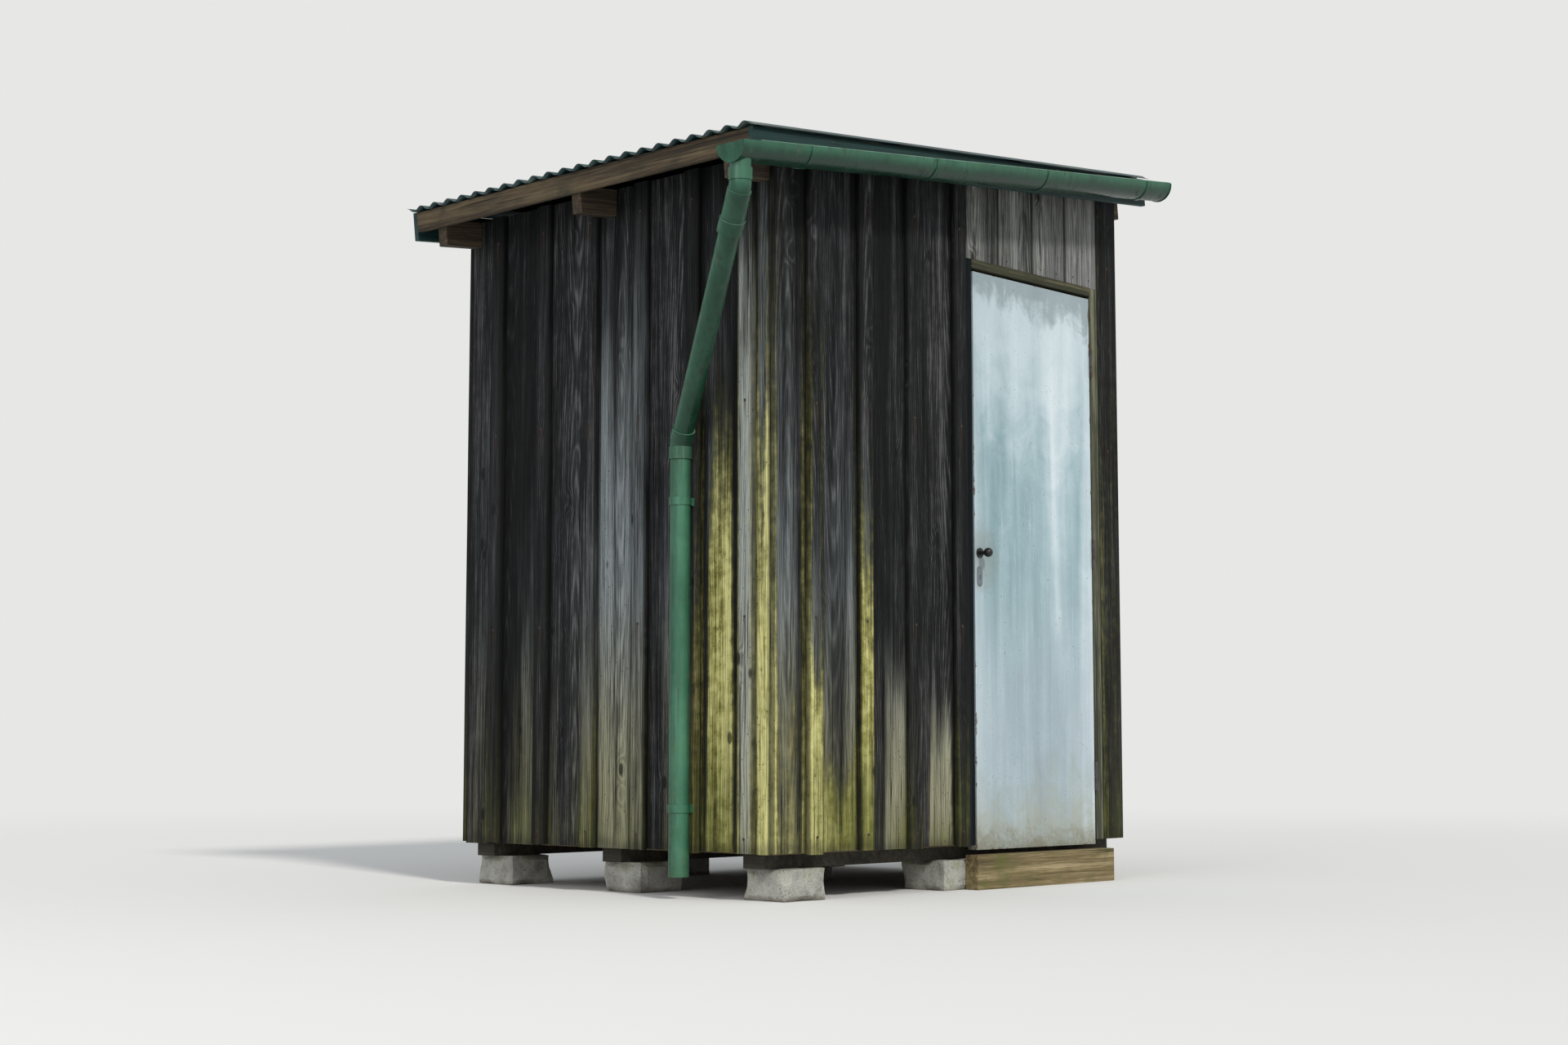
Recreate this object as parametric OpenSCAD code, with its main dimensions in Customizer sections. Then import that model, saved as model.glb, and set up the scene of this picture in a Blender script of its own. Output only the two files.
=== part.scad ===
// Small board-and-batten outhouse under a corrugated lean-to roof.
// The front faces -Y and the roof falls to the left.
// The origin is on the ground, under the middle of the whole thing.

/* [Shed body] */
// Width over the cladding, along the front
body_w = 1850; // [1600:10:2200]
// Depth over the cladding, front to back
body_d = 1500; // [1300:10:2000]
// Height of the boards over the door head, measured at the left jamb
over_door_h = 288; // [240:2:360]
// Slope of the roof in degrees, rising to the right
roof_pitch = 6; // [3:0.5:10]

/* [Footing and floor] */
// Side of a square foundation block
block_w = 190; // [150:5:240]
// Height of a foundation block
block_h = 100; // [60:5:140]
// Width of a bearer
bearer_w = 90; // [70:5:120]
// Height of a bearer
bearer_h = 45; // [38:1:70]
// How far the outer bearers stand back from the cladding
bearer_setback = 60; // [30:5:120]
// Thickness of the floor deck
deck_t = 20; // [16:1:28]
// How far the cladding hangs below the top of the deck
clad_lap = 19; // [0:1:30]

/* [Framing] */
// Side of a square corner post, and the width of the plates
post_w = 70; // [65:1:100]
// Thickness of rails, plates and rafters
frame_t = 45; // [38:1:50]
// Height of a wall rail set on edge
rail_h = 70; // [50:1:100]
// Height of a rafter
rafter_h = 90; // [70:1:120]
// Height of a purlin, laid flat
purlin_h = 45; // [35:1:50]
// Width of a purlin
purlin_w = 70; // [50:1:90]

/* [Cladding] */
// Thickness of the wall boards
board_t = 19; // [16:1:25]
// Spacing of the battens, centre to centre
batten_pitch = 243; // [200:1:280]
// Width of a batten
batten_w = 65; // [40:1:75]
// Thickness of a batten
batten_t = 18; // [10:1:25]
// Centre of the first batten on the front, from the left corner
front_first = 175; // [120:1:200]
// Centre of the first batten on the side walls, from the front corner
side_first = 110; // [90:1:140]

/* [Doorway and door] */
// Width of the door slab
door_w = 680; // [600:5:720]
// Height of the door slab
door_h = 1980; // [1850:5:2050]
// Thickness of the door slab
door_t = 38; // [35:1:44]
// Width of the face of a jamb
jamb_w = 45; // [38:1:60]
// Distance from the outer face of the right jamb to the right corner
corner_board_w = 123; // [90:1:150]
// Clearance beside the door slab
door_gap = 7; // [6:0.5:8]
// How far the door slab hangs below the foot of the cladding
door_drop = 16; // [0:1:20]
// Clearance between the back of the door slab and the edge of the deck
deck_gap = 7; // [5:0.5:12]
// Clearance over the door slab
head_gap = 12; // [6:0.5:15]
// Thickness of the head over the door
head_t = 30; // [20:1:45]
// Clearance between the door slab and the sill
sill_gap = 15; // [8:1:25]
// How far the sill stands out past the wall face
sill_out = 45; // [10:1:60]

/* [Roof] */
// Overhang of the roofing past the low left wall
low_over = 200; // [150:5:260]
// Overhang of the roofing past the high right wall
high_over = 80; // [60:5:150]
// Overhang of the roofing past the front and back walls
side_over = 105; // [80:5:150]
// Pitch of the corrugations
wave = 76; // [70:1:80]
// Depth of the corrugations
wave_h = 17; // [12:1:20]
// Thickness of the roofing
sheet_t = 0.9; // [0.6:0.1:1.5]
// How far each sheet laps the next, in corrugations
sheet_lap = 1.5; // [1:0.5:2.5]
// Height of the boards along the eaves
eave_board_h = 70; // [60:1:90]
// Height of the barge boards
barge_h = 100; // [80:1:120]
// Thickness of the eave and barge boards
edge_t = 20; // [16:1:25]

/* [Rainwater] */
// Outer radius of the half-round gutter
gutter_r = 57; // [45:1:65]
// How much steeper the gutter falls than the roof, in degrees
gutter_fall = 1.1; // [0:0.1:1.5]
// How far the rim of the gutter lies below the tops of the rafters at the left face of the wall
gutter_drop = 28; // [15:1:40]
// How far the gutter runs out past the low edge of the roofing
gutter_over = 75; // [30:1:90]
// Wall of the gutter and of the pipe
plastic_t = 2.5; // [2:0.1:4]
// Outer radius of the downpipe
pipe_r = 33; // [25:1:40]
// Wall of the bends and sockets
fitting_t = 4; // [3:0.1:5]
// Height of the knee of the downpipe above the ground
knee_up = 1440; // [1200:10:1600]
// Height of the foot of the downpipe above the ground
pipe_foot = 70; // [40:5:200]

/* [Ironmongery] */
// Length of a hinge
hinge_h = 100; // [75:1:120]
// Radius of a hinge knuckle
knuckle_r = 5.5; // [5:0.1:7]
// Height of the knob above the foot of the door
knob_up = 1005; // [900:5:1100]
// Distance of the knob from the edge of the door
knob_backset = 26; // [26:1:60]
// Radius of the knob
knob_r = 16; // [13:1:16]
// Distance of the knob's centre from the face of the door
knob_reach = 38; // [32:1:55]
// How far the middle of the key plate lies below the knob
key_drop = 80; // [60:1:100]
// Length of the key plate
key_plate_h = 70; // [50:1:80]
// Width of the key plate
key_plate_w = 28; // [20:1:34]

/* [Hidden] */

seat = 0.3;                       // clearance where one piece rests on another
run_fit = 0.05;                   // radial clearance of a pin or spindle in its bore

// Heights at the foot, from the ground up
deck_z = block_h + bearer_h;
deck_top = deck_z + deck_t;
clad_z = deck_top - clad_lap;
block_front = bearer_setback - (block_w - bearer_w) / 2;

// Doorway
right_jamb_x = body_w - corner_board_w - jamb_w;
door_x1 = right_jamb_x - door_gap;
door_x0 = door_x1 - door_w;
left_jamb_x = door_x0 - door_gap - jamb_w;
door_z = clad_z - door_drop;
head_z = door_z + door_h + head_gap;
head_top = head_z + head_t;
head_lip = 4;
jamb_d = board_t + post_w;
stop_w = 11;
stop_d = 32;
stop_y = door_t + 5;

// Roof, measured up the slope from the left face of the wall
slope = tan(roof_pitch);
roof_z = head_top + over_door_h - left_jamb_x * slope;
rafter_drop = rafter_h / cos(roof_pitch);
run_0 = -low_over / cos(roof_pitch);
run_1 = (body_w + high_over) / cos(roof_pitch);
sheet_count = 3;
all_waves = (body_d + 2 * side_over) / wave;
sheet_waves = (all_waves + (sheet_count - 1) * sheet_lap) / sheet_count;
edge_inset = 15;
purlin_count = 4;
purlin_end = side_over - edge_inset - edge_t;
sheet_lift = purlin_h + seat;
rail_count = 2;

// Gutter, measured along its own fall from the left face of the wall
gutter_pitch = roof_pitch + gutter_fall;
gutter_gap = 6;
gutter_y = -(side_over - edge_inset) - gutter_gap - gutter_r;
gutter_inset = 20;
gutter_u0 = -(low_over + gutter_over) / cos(gutter_pitch);
gutter_u1 = (body_w + high_over - gutter_inset) / cos(gutter_pitch);
bead_r = 4;
bracket_t = 3;
bracket_w = 25;
bracket_inset = 160;
bracket_count = 4;
bracket_up = 30;
bracket_down = 40;

// Outlet: a short trough round the low end of the gutter, with a spigot below
outlet_l = 90;
outlet_lap = 12;
outlet_r = gutter_r + plastic_t;
outlet_u = gutter_u0 + outlet_lap - outlet_l / 2;
outlet_x = outlet_u * cos(gutter_pitch);
outlet_z = roof_z - gutter_drop + outlet_x * tan(gutter_pitch);
spigot_l = 71;

// Pipe: down from the outlet, slanting back to the wall, then down the wall
pipe_gap = 10;
socket_r = pipe_r + seat + fitting_t;
socket_l = 35;
top_socket_l = 140;
collar_l = 45;
collar_t = 3;
shoulder = 4;
join = 1;                         // overlap that fuses the parts of a fitting
bend_r = 50;
pipe_in = pipe_r - plastic_t;
pipe_top = [outlet_x, gutter_y, outlet_z - gutter_r - spigot_l];
pipe_knee = [-(batten_t + pipe_gap + pipe_r), side_first + batten_pitch, knee_up];
pipe_way = pipe_knee - pipe_top;
pipe_lean = acos(-pipe_way[2] / norm(pipe_way));
pipe_turn = atan2(pipe_way[1], pipe_way[0]);
bend_reach = bend_r * tan(pipe_lean / 2);
pipe_arm = 40;
pipe_bracket_inset = 200;

// Hinges and knob
hinge_x = (door_x1 + right_jamb_x) / 2;
hinge_y = -(knuckle_r + 0.5);
hinge_inset = 190;
knuckle_gap = 0.5;
knuckle_clear = 0.4;
leaf_t = 1.6;
leaf_d = 32;
pin_r = 2.5;
pin_head = 2;
knob_x = door_x0 + knob_backset;
knob_z = door_z + knob_up;
spindle_r = 7;
spindle_clear = 3;
rose_r = 17;
rose_t = 5;
key_z = knob_z - key_drop;
key_plate_t = 2;
keyhole_r = 4;
keyhole_w = 4;
keyhole_l = 13;
keyhole_depth = 15;

// The whole thing's extent, to put the origin under its middle
x_min = (outlet_u - outlet_l / 2) * cos(gutter_pitch);
x_max = body_w + high_over - sheet_lift * sin(roof_pitch);
y_min = gutter_y - gutter_r - bracket_t;
y_max = body_d + side_over;

module place() {
    translate([-(x_min + x_max) / 2, -(y_min + y_max) / 2, 0]) children();
}

// The roof's plane: X runs up the slope, Z stands square to it, and zero is the top of the rafters
module on_roof() {
    translate([0, 0, roof_z]) rotate([0, -roof_pitch, 0]) children();
}

function roof_at(x) = roof_z + x * slope;

// A piece from x0 to x1 whose top follows the roof, drop below the tops of the rafters
module raked(x0, x1, y0, y1, z0, drop) {
    outline = [[x0, z0], [x1, z0], [x1, roof_at(x1) - drop], [x0, roof_at(x0) - drop]];
    translate([0, y1, 0]) rotate([90, 0, 0]) linear_extrude(y1 - y0) polygon(outline);
}

module block(x0, x1, y0, y1, z0, z1) {
    translate([x0, y0, z0]) cube([x1 - x0, y1 - y0, z1 - z0]);
}

module foundation_blocks() {
    color("#8b8a84") place() {
        for (x = [bearer_setback, (body_w - block_w) / 2, body_w - bearer_setback - block_w]) {
            for (y = bearer_ys()) {
                front = y + block_front - bearer_setback;
                block(x, x + block_w, front, front + block_w, 0, block_h);
            }
        }
    }
}

function bearer_ys() = [bearer_setback, (body_d - bearer_w) / 2, body_d - bearer_setback - bearer_w];

module bearers() {
    color("#4a4136") place() {
        for (y = bearer_ys()) {
            block(board_t, body_w - board_t, y, y + bearer_w, block_h, deck_z);
        }
    }
}

// The deck is cut back between the jambs, where the foot of the door hangs past it
module floor_deck() {
    edge = door_t + deck_gap;
    color("#6b5f4c") place() difference() {
        block(board_t, body_w - board_t, board_t, body_d - board_t, deck_z, deck_top);
        block(left_jamb_x + jamb_w, right_jamb_x, 0, edge, deck_z - 1, deck_top + 1);
    }
}

module door_sill() {
    color("#a59664") place() {
        block(left_jamb_x, right_jamb_x + jamb_w, -sill_out, block_front, 0, door_z - sill_gap);
    }
}

module corner_posts() {
    far_x = body_w - board_t - post_w;
    far_y = body_d - board_t - post_w;
    color("#6f6250") place() {
        for (x = [board_t, far_x]) {
            for (y = [board_t, far_y]) {
                raked(x, x + post_w, y, y + post_w, deck_top, rafter_drop);
            }
        }
    }
}

// Undersides of the middle rails, spaced evenly up the low wall
rail_step = (roof_z - rafter_drop - deck_top) / (rail_count + 1);
function rail_zs() = [for (i = [1 : rail_count]) deck_top + i * rail_step];

module side_rails(x0, x1) {
    y0 = board_t + post_w;
    y1 = body_d - board_t - post_w;
    rail_x = x0 < body_w / 2 ? x0 : x1 - frame_t;
    block(x0, x1, y0, y1, deck_top, deck_top + frame_t);
    for (z = rail_zs()) {
        block(rail_x, rail_x + frame_t, y0, y1, z, z + rail_h);
    }
    raked(x0, x1, y0, y1, roof_at(x0) - rafter_drop - frame_t, rafter_drop);
}

module left_rails() {
    color("#6f6250") place() side_rails(board_t, board_t + post_w);
}

module right_rails() {
    color("#6f6250") place() side_rails(body_w - board_t - post_w, body_w - board_t);
}

module back_rails() {
    x0 = board_t + post_w;
    x1 = body_w - board_t - post_w;
    y1 = body_d - board_t;
    color("#6f6250") place() {
        block(x0, x1, y1 - post_w, y1, deck_top, deck_top + frame_t);
        for (z = rail_zs()) {
            block(x0, x1, y1 - frame_t, y1, z, z + rail_h);
        }
    }
}

module front_rails() {
    x0 = board_t + post_w;
    x1 = left_jamb_x;
    color("#6f6250") place() {
        block(x0, x1, board_t, board_t + post_w, deck_top, deck_top + frame_t);
        for (z = rail_zs()) {
            block(x0, x1, board_t, board_t + frame_t, z, z + rail_h);
        }
    }
}

// A jamb stands on the deck and runs up to the rafter, with a face in line with the boards as far as the head
module jamb(x0) {
    block(x0, x0 + jamb_w, 0, board_t, clad_z, head_top);
    block(x0, x0 + jamb_w, 0, jamb_d, deck_top, head_top);
    raked(x0, x0 + jamb_w, board_t, jamb_d, deck_top, rafter_drop);
}

module left_jamb() {
    color("#2c3138") place() jamb(left_jamb_x);
}

module right_jamb() {
    color("#96938a") place() jamb(right_jamb_x);
}

module door_head() {
    color("#7a6a4e") place() {
        block(left_jamb_x + jamb_w, right_jamb_x, -head_lip, jamb_d, head_z, head_top);
    }
}

module door_stops() {
    x0 = left_jamb_x + jamb_w;
    x1 = right_jamb_x;
    color("#77705f") place() {
        block(x0, x0 + stop_w, stop_y, stop_y + stop_d, deck_top, head_z - stop_w - seat);
        block(x1 - stop_w, x1, stop_y, stop_y + stop_d, deck_top, head_z - stop_w - seat);
        block(x0, x1, stop_y, stop_y + stop_d, head_z - stop_w, head_z);
    }
}

function rafter_ys() = [board_t, (body_d - frame_t) / 2, body_d - board_t - frame_t];

module rafters() {
    color("#6f6250") place() on_roof() {
        for (y = rafter_ys()) {
            block(run_0 + edge_inset + edge_t, run_1 - edge_inset - edge_t, y, y + frame_t, -rafter_h, 0);
        }
    }
}

// What a side wall and its battens leave free for the rafters
module rafter_slots() {
    on_roof() for (y = rafter_ys()) {
        block(run_0, run_1, y - seat, y + frame_t + seat, -rafter_h - seat, rafter_h);
    }
}

module purlins() {
    first = run_0 + edge_inset + edge_t;
    last = run_1 - edge_inset - edge_t - purlin_w;
    gap = (last - first) / (purlin_count - 1);
    color("#75674f") place() on_roof() {
        for (i = [0 : purlin_count - 1]) {
            u = first + i * gap;
            block(u, u + purlin_w, -purlin_end, body_d + purlin_end, 0, purlin_h);
        }
    }
}

module eave_board(u) {
    on_roof() block(u, u + edge_t, -purlin_end, body_d + purlin_end, purlin_h - eave_board_h, purlin_h);
}

module low_eave_board() {
    color("#8a6c4c") place() eave_board(run_0 + edge_inset);
}

module high_eave_board() {
    color("#8a6c4c") place() eave_board(run_1 - edge_inset - edge_t);
}

module barge(y) {
    on_roof() block(run_0 + edge_inset, run_1 - edge_inset, y, y + edge_t, purlin_h - barge_h, purlin_h);
}

module front_barge() {
    color("#4f6458") place() barge(-purlin_end - edge_t);
}

module back_barge() {
    color("#4f6458") place() barge(body_d + purlin_end);
}

// Height of the corrugations, n waves behind the front edge
function wave_z(n) = wave_h / 2 * (1 - cos(360 * n));

// One sheet, counted from the front. Its points lie on every twelfth of a wave, so that lapped sheets nest.
module roof_sheet(number, lift) {
    steps = 12;
    first = number * (sheet_waves - sheet_lap);
    last = first + sheet_waves;
    between = [for (i = [floor(first * steps) + 1 : ceil(last * steps) - 1]) i / steps];
    marks = concat([first], between, [last]);
    under = [for (n = marks) [n * wave, wave_z(n)]];
    over = [for (i = [len(marks) - 1 : -1 : 0]) under[i] + [0, sheet_t]];
    color("#16343c") place() on_roof() {
        translate([run_0, -side_over, sheet_lift + lift]) rotate([90, 0, 90]) {
            linear_extrude(run_1 - run_0) polygon(concat(under, over));
        }
    }
}

module roof_sheet_front() {
    roof_sheet(0, 0);
}

module roof_sheet_middle() {
    roof_sheet(1, sheet_t + seat);
}

module roof_sheet_back() {
    roof_sheet(2, 0);
}

// A side wall is notched where the rafters pass out through its top
module side_wall(x0) {
    difference() {
        raked(x0, x0 + board_t, board_t, body_d - board_t, clad_z, seat);
        rafter_slots();
    }
}

module left_wall() {
    color("#3b3a37") place() side_wall(0);
}

module right_wall() {
    color("#3b3a37") place() side_wall(body_w - board_t);
}

module back_wall() {
    color("#3b3a37") place() raked(0, body_w, body_d - board_t, body_d, clad_z, seat);
}

module front_wall() {
    color("#3b3a37") place() raked(0, left_jamb_x, 0, board_t, clad_z, seat);
}

module front_corner_board() {
    color("#2f2e2d") place() raked(right_jamb_x + jamb_w, body_w, 0, board_t, clad_z, seat);
}

module over_door_wall() {
    color("#6e6a6c") place() raked(left_jamb_x, right_jamb_x + jamb_w, 0, board_t, head_top, seat);
}

// Battens stand on a long wall from x0 to x1, with their faces at y0 and y1
module long_battens(first, x1, y0, y1) {
    for (x = [first : batten_pitch : x1 - batten_w / 2]) {
        raked(x - batten_w / 2, x + batten_w / 2, y0, y1, clad_z, seat);
    }
}

module side_battens(x0, x1) {
    difference() {
        for (y = [side_first : batten_pitch : body_d - board_t - frame_t - batten_w / 2]) {
            raked(x0, x1, y - batten_w / 2, y + batten_w / 2, clad_z, seat);
        }
        rafter_slots();
    }
}

module left_battens() {
    color("#33312f") place() side_battens(-batten_t, 0);
}

module right_battens() {
    color("#33312f") place() side_battens(body_w, body_w + batten_t);
}

module back_battens() {
    color("#33312f") place() long_battens(front_first, body_w, body_d, body_d + batten_t);
}

module front_battens() {
    color("#33312f") place() long_battens(front_first, left_jamb_x, -batten_t, 0);
}

// Half ring with its open side up, as a profile across the gutter
module half_ring(outer, inner) {
    difference() {
        circle(outer, $fn = 64);
        circle(inner, $fn = 64);
        translate([-outer - 1, 0]) square([2 * outer + 2, outer + 1]);
    }
}

// Half disc below the rim, as a profile
module half_disc(r) {
    intersection() {
        circle(r, $fn = 64);
        translate([-r, -r]) square([2 * r, r]);
    }
}

// The gutter's own line: X runs up its fall, and zero is the middle of its rim
module along_gutter(u0, u1) {
    translate([0, gutter_y, roof_z - gutter_drop]) rotate([0, -gutter_pitch, 0]) {
        translate([u0, 0, 0]) rotate([90, 0, 90]) linear_extrude(u1 - u0) children();
    }
}

module gutter() {
    color("#2f6b4e") place() along_gutter(gutter_u0, gutter_u1) {
        union() {
            half_ring(gutter_r, gutter_r - plastic_t);
            translate([-gutter_r + bead_r, 0]) circle(bead_r, $fn = 32);
        }
    }
}

module gutter_stop_end() {
    color("#2f6b4e") place() along_gutter(gutter_u1 + seat, gutter_u1 + seat + plastic_t) half_disc(outlet_r);
}

module gutter_brackets() {
    first = (bracket_inset - low_over) / cos(gutter_pitch);
    last = (body_w + high_over - bracket_inset) / cos(gutter_pitch);
    gap = (last - first) / (bracket_count - 1);
    back = gutter_r + gutter_gap;
    color("#285a43") place() {
        for (i = [0 : bracket_count - 1]) {
            middle = first + i * gap;
            along_gutter(middle - bracket_w / 2, middle + bracket_w / 2) {
                half_ring(gutter_r + bracket_t, gutter_r + seat);
                translate([back - bracket_t, -bracket_down]) square([bracket_t, bracket_down + bracket_up]);
                translate([gutter_r + seat, -bracket_t]) square([gutter_gap - seat, bracket_t]);
            }
        }
    }
}

module gutter_outlet() {
    end = outlet_u - outlet_l / 2;
    spigot_z = pipe_top[2] + bend_reach + seat;
    color("#2f6b4e") place() difference() {
        union() {
            along_gutter(end, end + outlet_l) half_disc(outlet_r);
            translate([outlet_x, gutter_y, spigot_z]) {
                cylinder(r = pipe_r, h = outlet_z - gutter_r / 2 - spigot_z, $fn = 48);
            }
        }
        along_gutter(end + plastic_t, end + outlet_l + 1) circle(gutter_r + seat, $fn = 64);
        translate([outlet_x, gutter_y, spigot_z - 1]) {
            cylinder(r = pipe_in, h = outlet_z - spigot_z, $fn = 48);
        }
    }
}

module tube(length, outer, inner) {
    difference() {
        cylinder(r = outer, h = length, $fn = 48);
        translate([0, 0, -1]) cylinder(r = inner, h = length + 2, $fn = 48);
    }
}

// The slanting line of the pipe: Z runs down it from the corner of a bend
module down_slant(corner) {
    translate(corner) rotate([0, 0, pipe_turn]) rotate([0, 180 - pipe_lean, 0]) children();
}

// The bent middle of a fitting, as a solid of radius r; a lower bend turns the slant upright again
module bend(corner, r, lower) {
    side = lower ? -1 : 1;
    translate(corner) rotate([0, 0, pipe_turn]) translate([side * bend_r, 0, side * bend_reach]) {
        rotate([90, 0, 0]) rotate([0, 0, lower ? 0 : 180]) rotate_extrude(angle = pipe_lean, $fn = 48) {
            translate([bend_r, 0]) circle(r, $fn = 48);
        }
    }
}

// A socket standing on Z = 0, with a shoulder below it that takes the end of the bend
module socket(length) {
    translate([0, 0, -shoulder]) cylinder(r = socket_r, h = length + shoulder, $fn = 48);
}

module socket_bore(length) {
    translate([0, 0, -join]) cylinder(r = pipe_r + seat, h = length + 2 * join, $fn = 48);
}

module top_bend() {
    up = pipe_top + [0, 0, bend_reach];
    color("#2f6b4e") place() difference() {
        union() {
            bend(pipe_top, pipe_in + fitting_t, false);
            translate(up) socket(socket_l);
            down_slant(pipe_top) translate([0, 0, bend_reach]) socket(top_socket_l);
            down_slant(pipe_top) translate([0, 0, bend_reach + top_socket_l - collar_l - join]) {
                cylinder(r = socket_r + collar_t, h = collar_l, $fn = 48);
            }
        }
        bend(pipe_top, pipe_in, false);
        translate(up) socket_bore(socket_l);
        down_slant(pipe_top) translate([0, 0, bend_reach]) socket_bore(top_socket_l);
    }
}

module knee_bend() {
    up = [0, 0, -bend_reach];
    color("#2f6b4e") place() difference() {
        union() {
            bend(pipe_knee, pipe_in + fitting_t, true);
            down_slant(pipe_knee) translate(up) mirror([0, 0, 1]) socket(socket_l);
            translate(pipe_knee + up) mirror([0, 0, 1]) socket(socket_l);
        }
        bend(pipe_knee, pipe_in, true);
        down_slant(pipe_knee) translate(up) mirror([0, 0, 1]) socket_bore(socket_l);
        translate(pipe_knee + up) mirror([0, 0, 1]) socket_bore(socket_l);
    }
}

module downpipe_upper() {
    color("#2f6b4e") place() down_slant(pipe_top) translate([0, 0, bend_reach]) {
        tube(norm(pipe_way) - 2 * bend_reach, pipe_r, pipe_in);
    }
}

module downpipe_lower() {
    top = pipe_knee[2] - bend_reach;
    color("#2f6b4e") place() translate([pipe_knee[0], pipe_knee[1], pipe_foot]) {
        tube(top - pipe_foot, pipe_r, pipe_in);
    }
}

module pipe_brackets() {
    reach = -pipe_knee[0] - batten_t;
    color("#285a43") place() {
        for (z = [pipe_foot + pipe_bracket_inset, knee_up - pipe_bracket_inset]) {
            translate([pipe_knee[0], pipe_knee[1], z]) difference() {
                union() {
                    cylinder(r = pipe_r + bracket_t, h = bracket_w, $fn = 48);
                    block(0, reach, -pipe_arm / 2, pipe_arm / 2, 0, bracket_w);
                }
                translate([0, 0, -1]) cylinder(r = pipe_r + seat, h = bracket_w + 2, $fn = 48);
            }
        }
    }
}

function hinge_zs() = [door_z + hinge_inset, door_z + door_h / 2, door_z + door_h - hinge_inset - hinge_h];

// Round stretch on the axis of the hinges, from z0 to z1
module on_pin(r, z0, z1) {
    translate([hinge_x, hinge_y, z0]) cylinder(r = r, h = z1 - z0, $fn = 32);
}

// A hinge has three knuckles: the jamb leaf carries the outer two and the door leaf the middle one
module hinge_jamb_leaves() {
    x1 = right_jamb_x;
    color("#4b4a48") place() {
        for (z = hinge_zs()) {
            low = z + hinge_h / 3;
            high = z + hinge_h * 2 / 3;
            difference() {
                union() {
                    block(x1 - leaf_t, x1, hinge_y, leaf_d, z, z + hinge_h);
                    on_pin(knuckle_r, z, z + hinge_h);
                }
                on_pin(pin_r + run_fit, z - 1, z + hinge_h + 1);
                on_pin(knuckle_r + knuckle_clear, low - knuckle_gap / 2, high + knuckle_gap / 2);
            }
        }
    }
}

module hinge_door_leaves() {
    x0 = door_x1;
    color("#4b4a48") place() {
        for (z = hinge_zs()) {
            low = z + hinge_h / 3;
            high = z + hinge_h * 2 / 3;
            difference() {
                union() {
                    block(x0, x0 + leaf_t, hinge_y, leaf_d, z, z + hinge_h);
                    on_pin(knuckle_r, low, high);
                }
                on_pin(pin_r + run_fit, z - 1, z + hinge_h + 1);
                on_pin(knuckle_r + knuckle_clear, z - 1, low + knuckle_gap / 2);
                on_pin(knuckle_r + knuckle_clear, high - knuckle_gap / 2, z + hinge_h + 1);
            }
        }
    }
}

module hinge_pins() {
    color("#6a6862") place() {
        for (z = hinge_zs()) {
            top = z + hinge_h + seat;
            on_pin(pin_r, z, top + join);
            on_pin(knuckle_r - 1, top, top + pin_head);
        }
    }
}

module door_slab() {
    color("#cbd8de") place() difference() {
        block(door_x0, door_x1, 0, door_t, door_z, door_z + door_h);
        translate([knob_x, -1, knob_z]) rotate([-90, 0, 0]) {
            cylinder(r = spindle_r + spindle_clear, h = door_t + 2, $fn = 32);
        }
        keyhole(-1, keyhole_depth);
    }
}

// Keyhole from the depth y0 to the depth y1 behind the face of the door
module keyhole(y0, y1) {
    translate([knob_x, y1, key_z]) rotate([90, 0, 0]) linear_extrude(y1 - y0) {
        circle(keyhole_r, $fn = 32);
        translate([-keyhole_w / 2, -keyhole_l]) square([keyhole_w, keyhole_l]);
    }
}

module key_plate() {
    half = key_plate_h / 2 - key_plate_w / 2;
    color("#8b929a") place() difference() {
        translate([knob_x, 0, key_z]) rotate([90, 0, 0]) linear_extrude(key_plate_t) {
            translate([-key_plate_w / 2, -half]) square([key_plate_w, 2 * half]);
            for (end = [-half, half]) {
                translate([0, end]) circle(key_plate_w / 2, $fn = 48);
            }
        }
        keyhole(-key_plate_t - 1, 1);
    }
}

module knob_roses() {
    color("#2a2a2a") place() {
        for (y = [-rose_t, door_t]) {
            translate([knob_x, y, knob_z]) rotate([-90, 0, 0]) difference() {
                cylinder(r = rose_r, h = rose_t, $fn = 48);
                translate([0, 0, -1]) cylinder(r = spindle_r + run_fit, h = rose_t + 2, $fn = 32);
            }
        }
    }
}

module knob() {
    length = door_t + 2 * knob_reach;
    color("#1c1c1c") place() translate([knob_x, -knob_reach, knob_z]) {
        rotate([-90, 0, 0]) cylinder(r = spindle_r, h = length, $fn = 32);
        for (y = [0, length]) {
            translate([0, y, 0]) sphere(knob_r, $fn = 48);
        }
    }
}

foundation_blocks();
bearers();
floor_deck();
door_sill();
corner_posts();
left_rails();
right_rails();
back_rails();
front_rails();
left_jamb();
right_jamb();
door_head();
door_stops();
rafters();
purlins();
low_eave_board();
high_eave_board();
front_barge();
back_barge();
roof_sheet_front();
roof_sheet_middle();
roof_sheet_back();
left_wall();
right_wall();
back_wall();
front_wall();
front_corner_board();
over_door_wall();
left_battens();
right_battens();
back_battens();
front_battens();
gutter();
gutter_stop_end();
gutter_brackets();
gutter_outlet();
top_bend();
downpipe_upper();
knee_bend();
downpipe_lower();
pipe_brackets();
hinge_jamb_leaves();
hinge_pins();
door_slab();
hinge_door_leaves();
knob_roses();
key_plate();
knob();
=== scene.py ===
import random
from math import cos, pi, radians, sin, tan

import bmesh
import bpy
from mathutils import Matrix, Vector, noise


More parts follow.
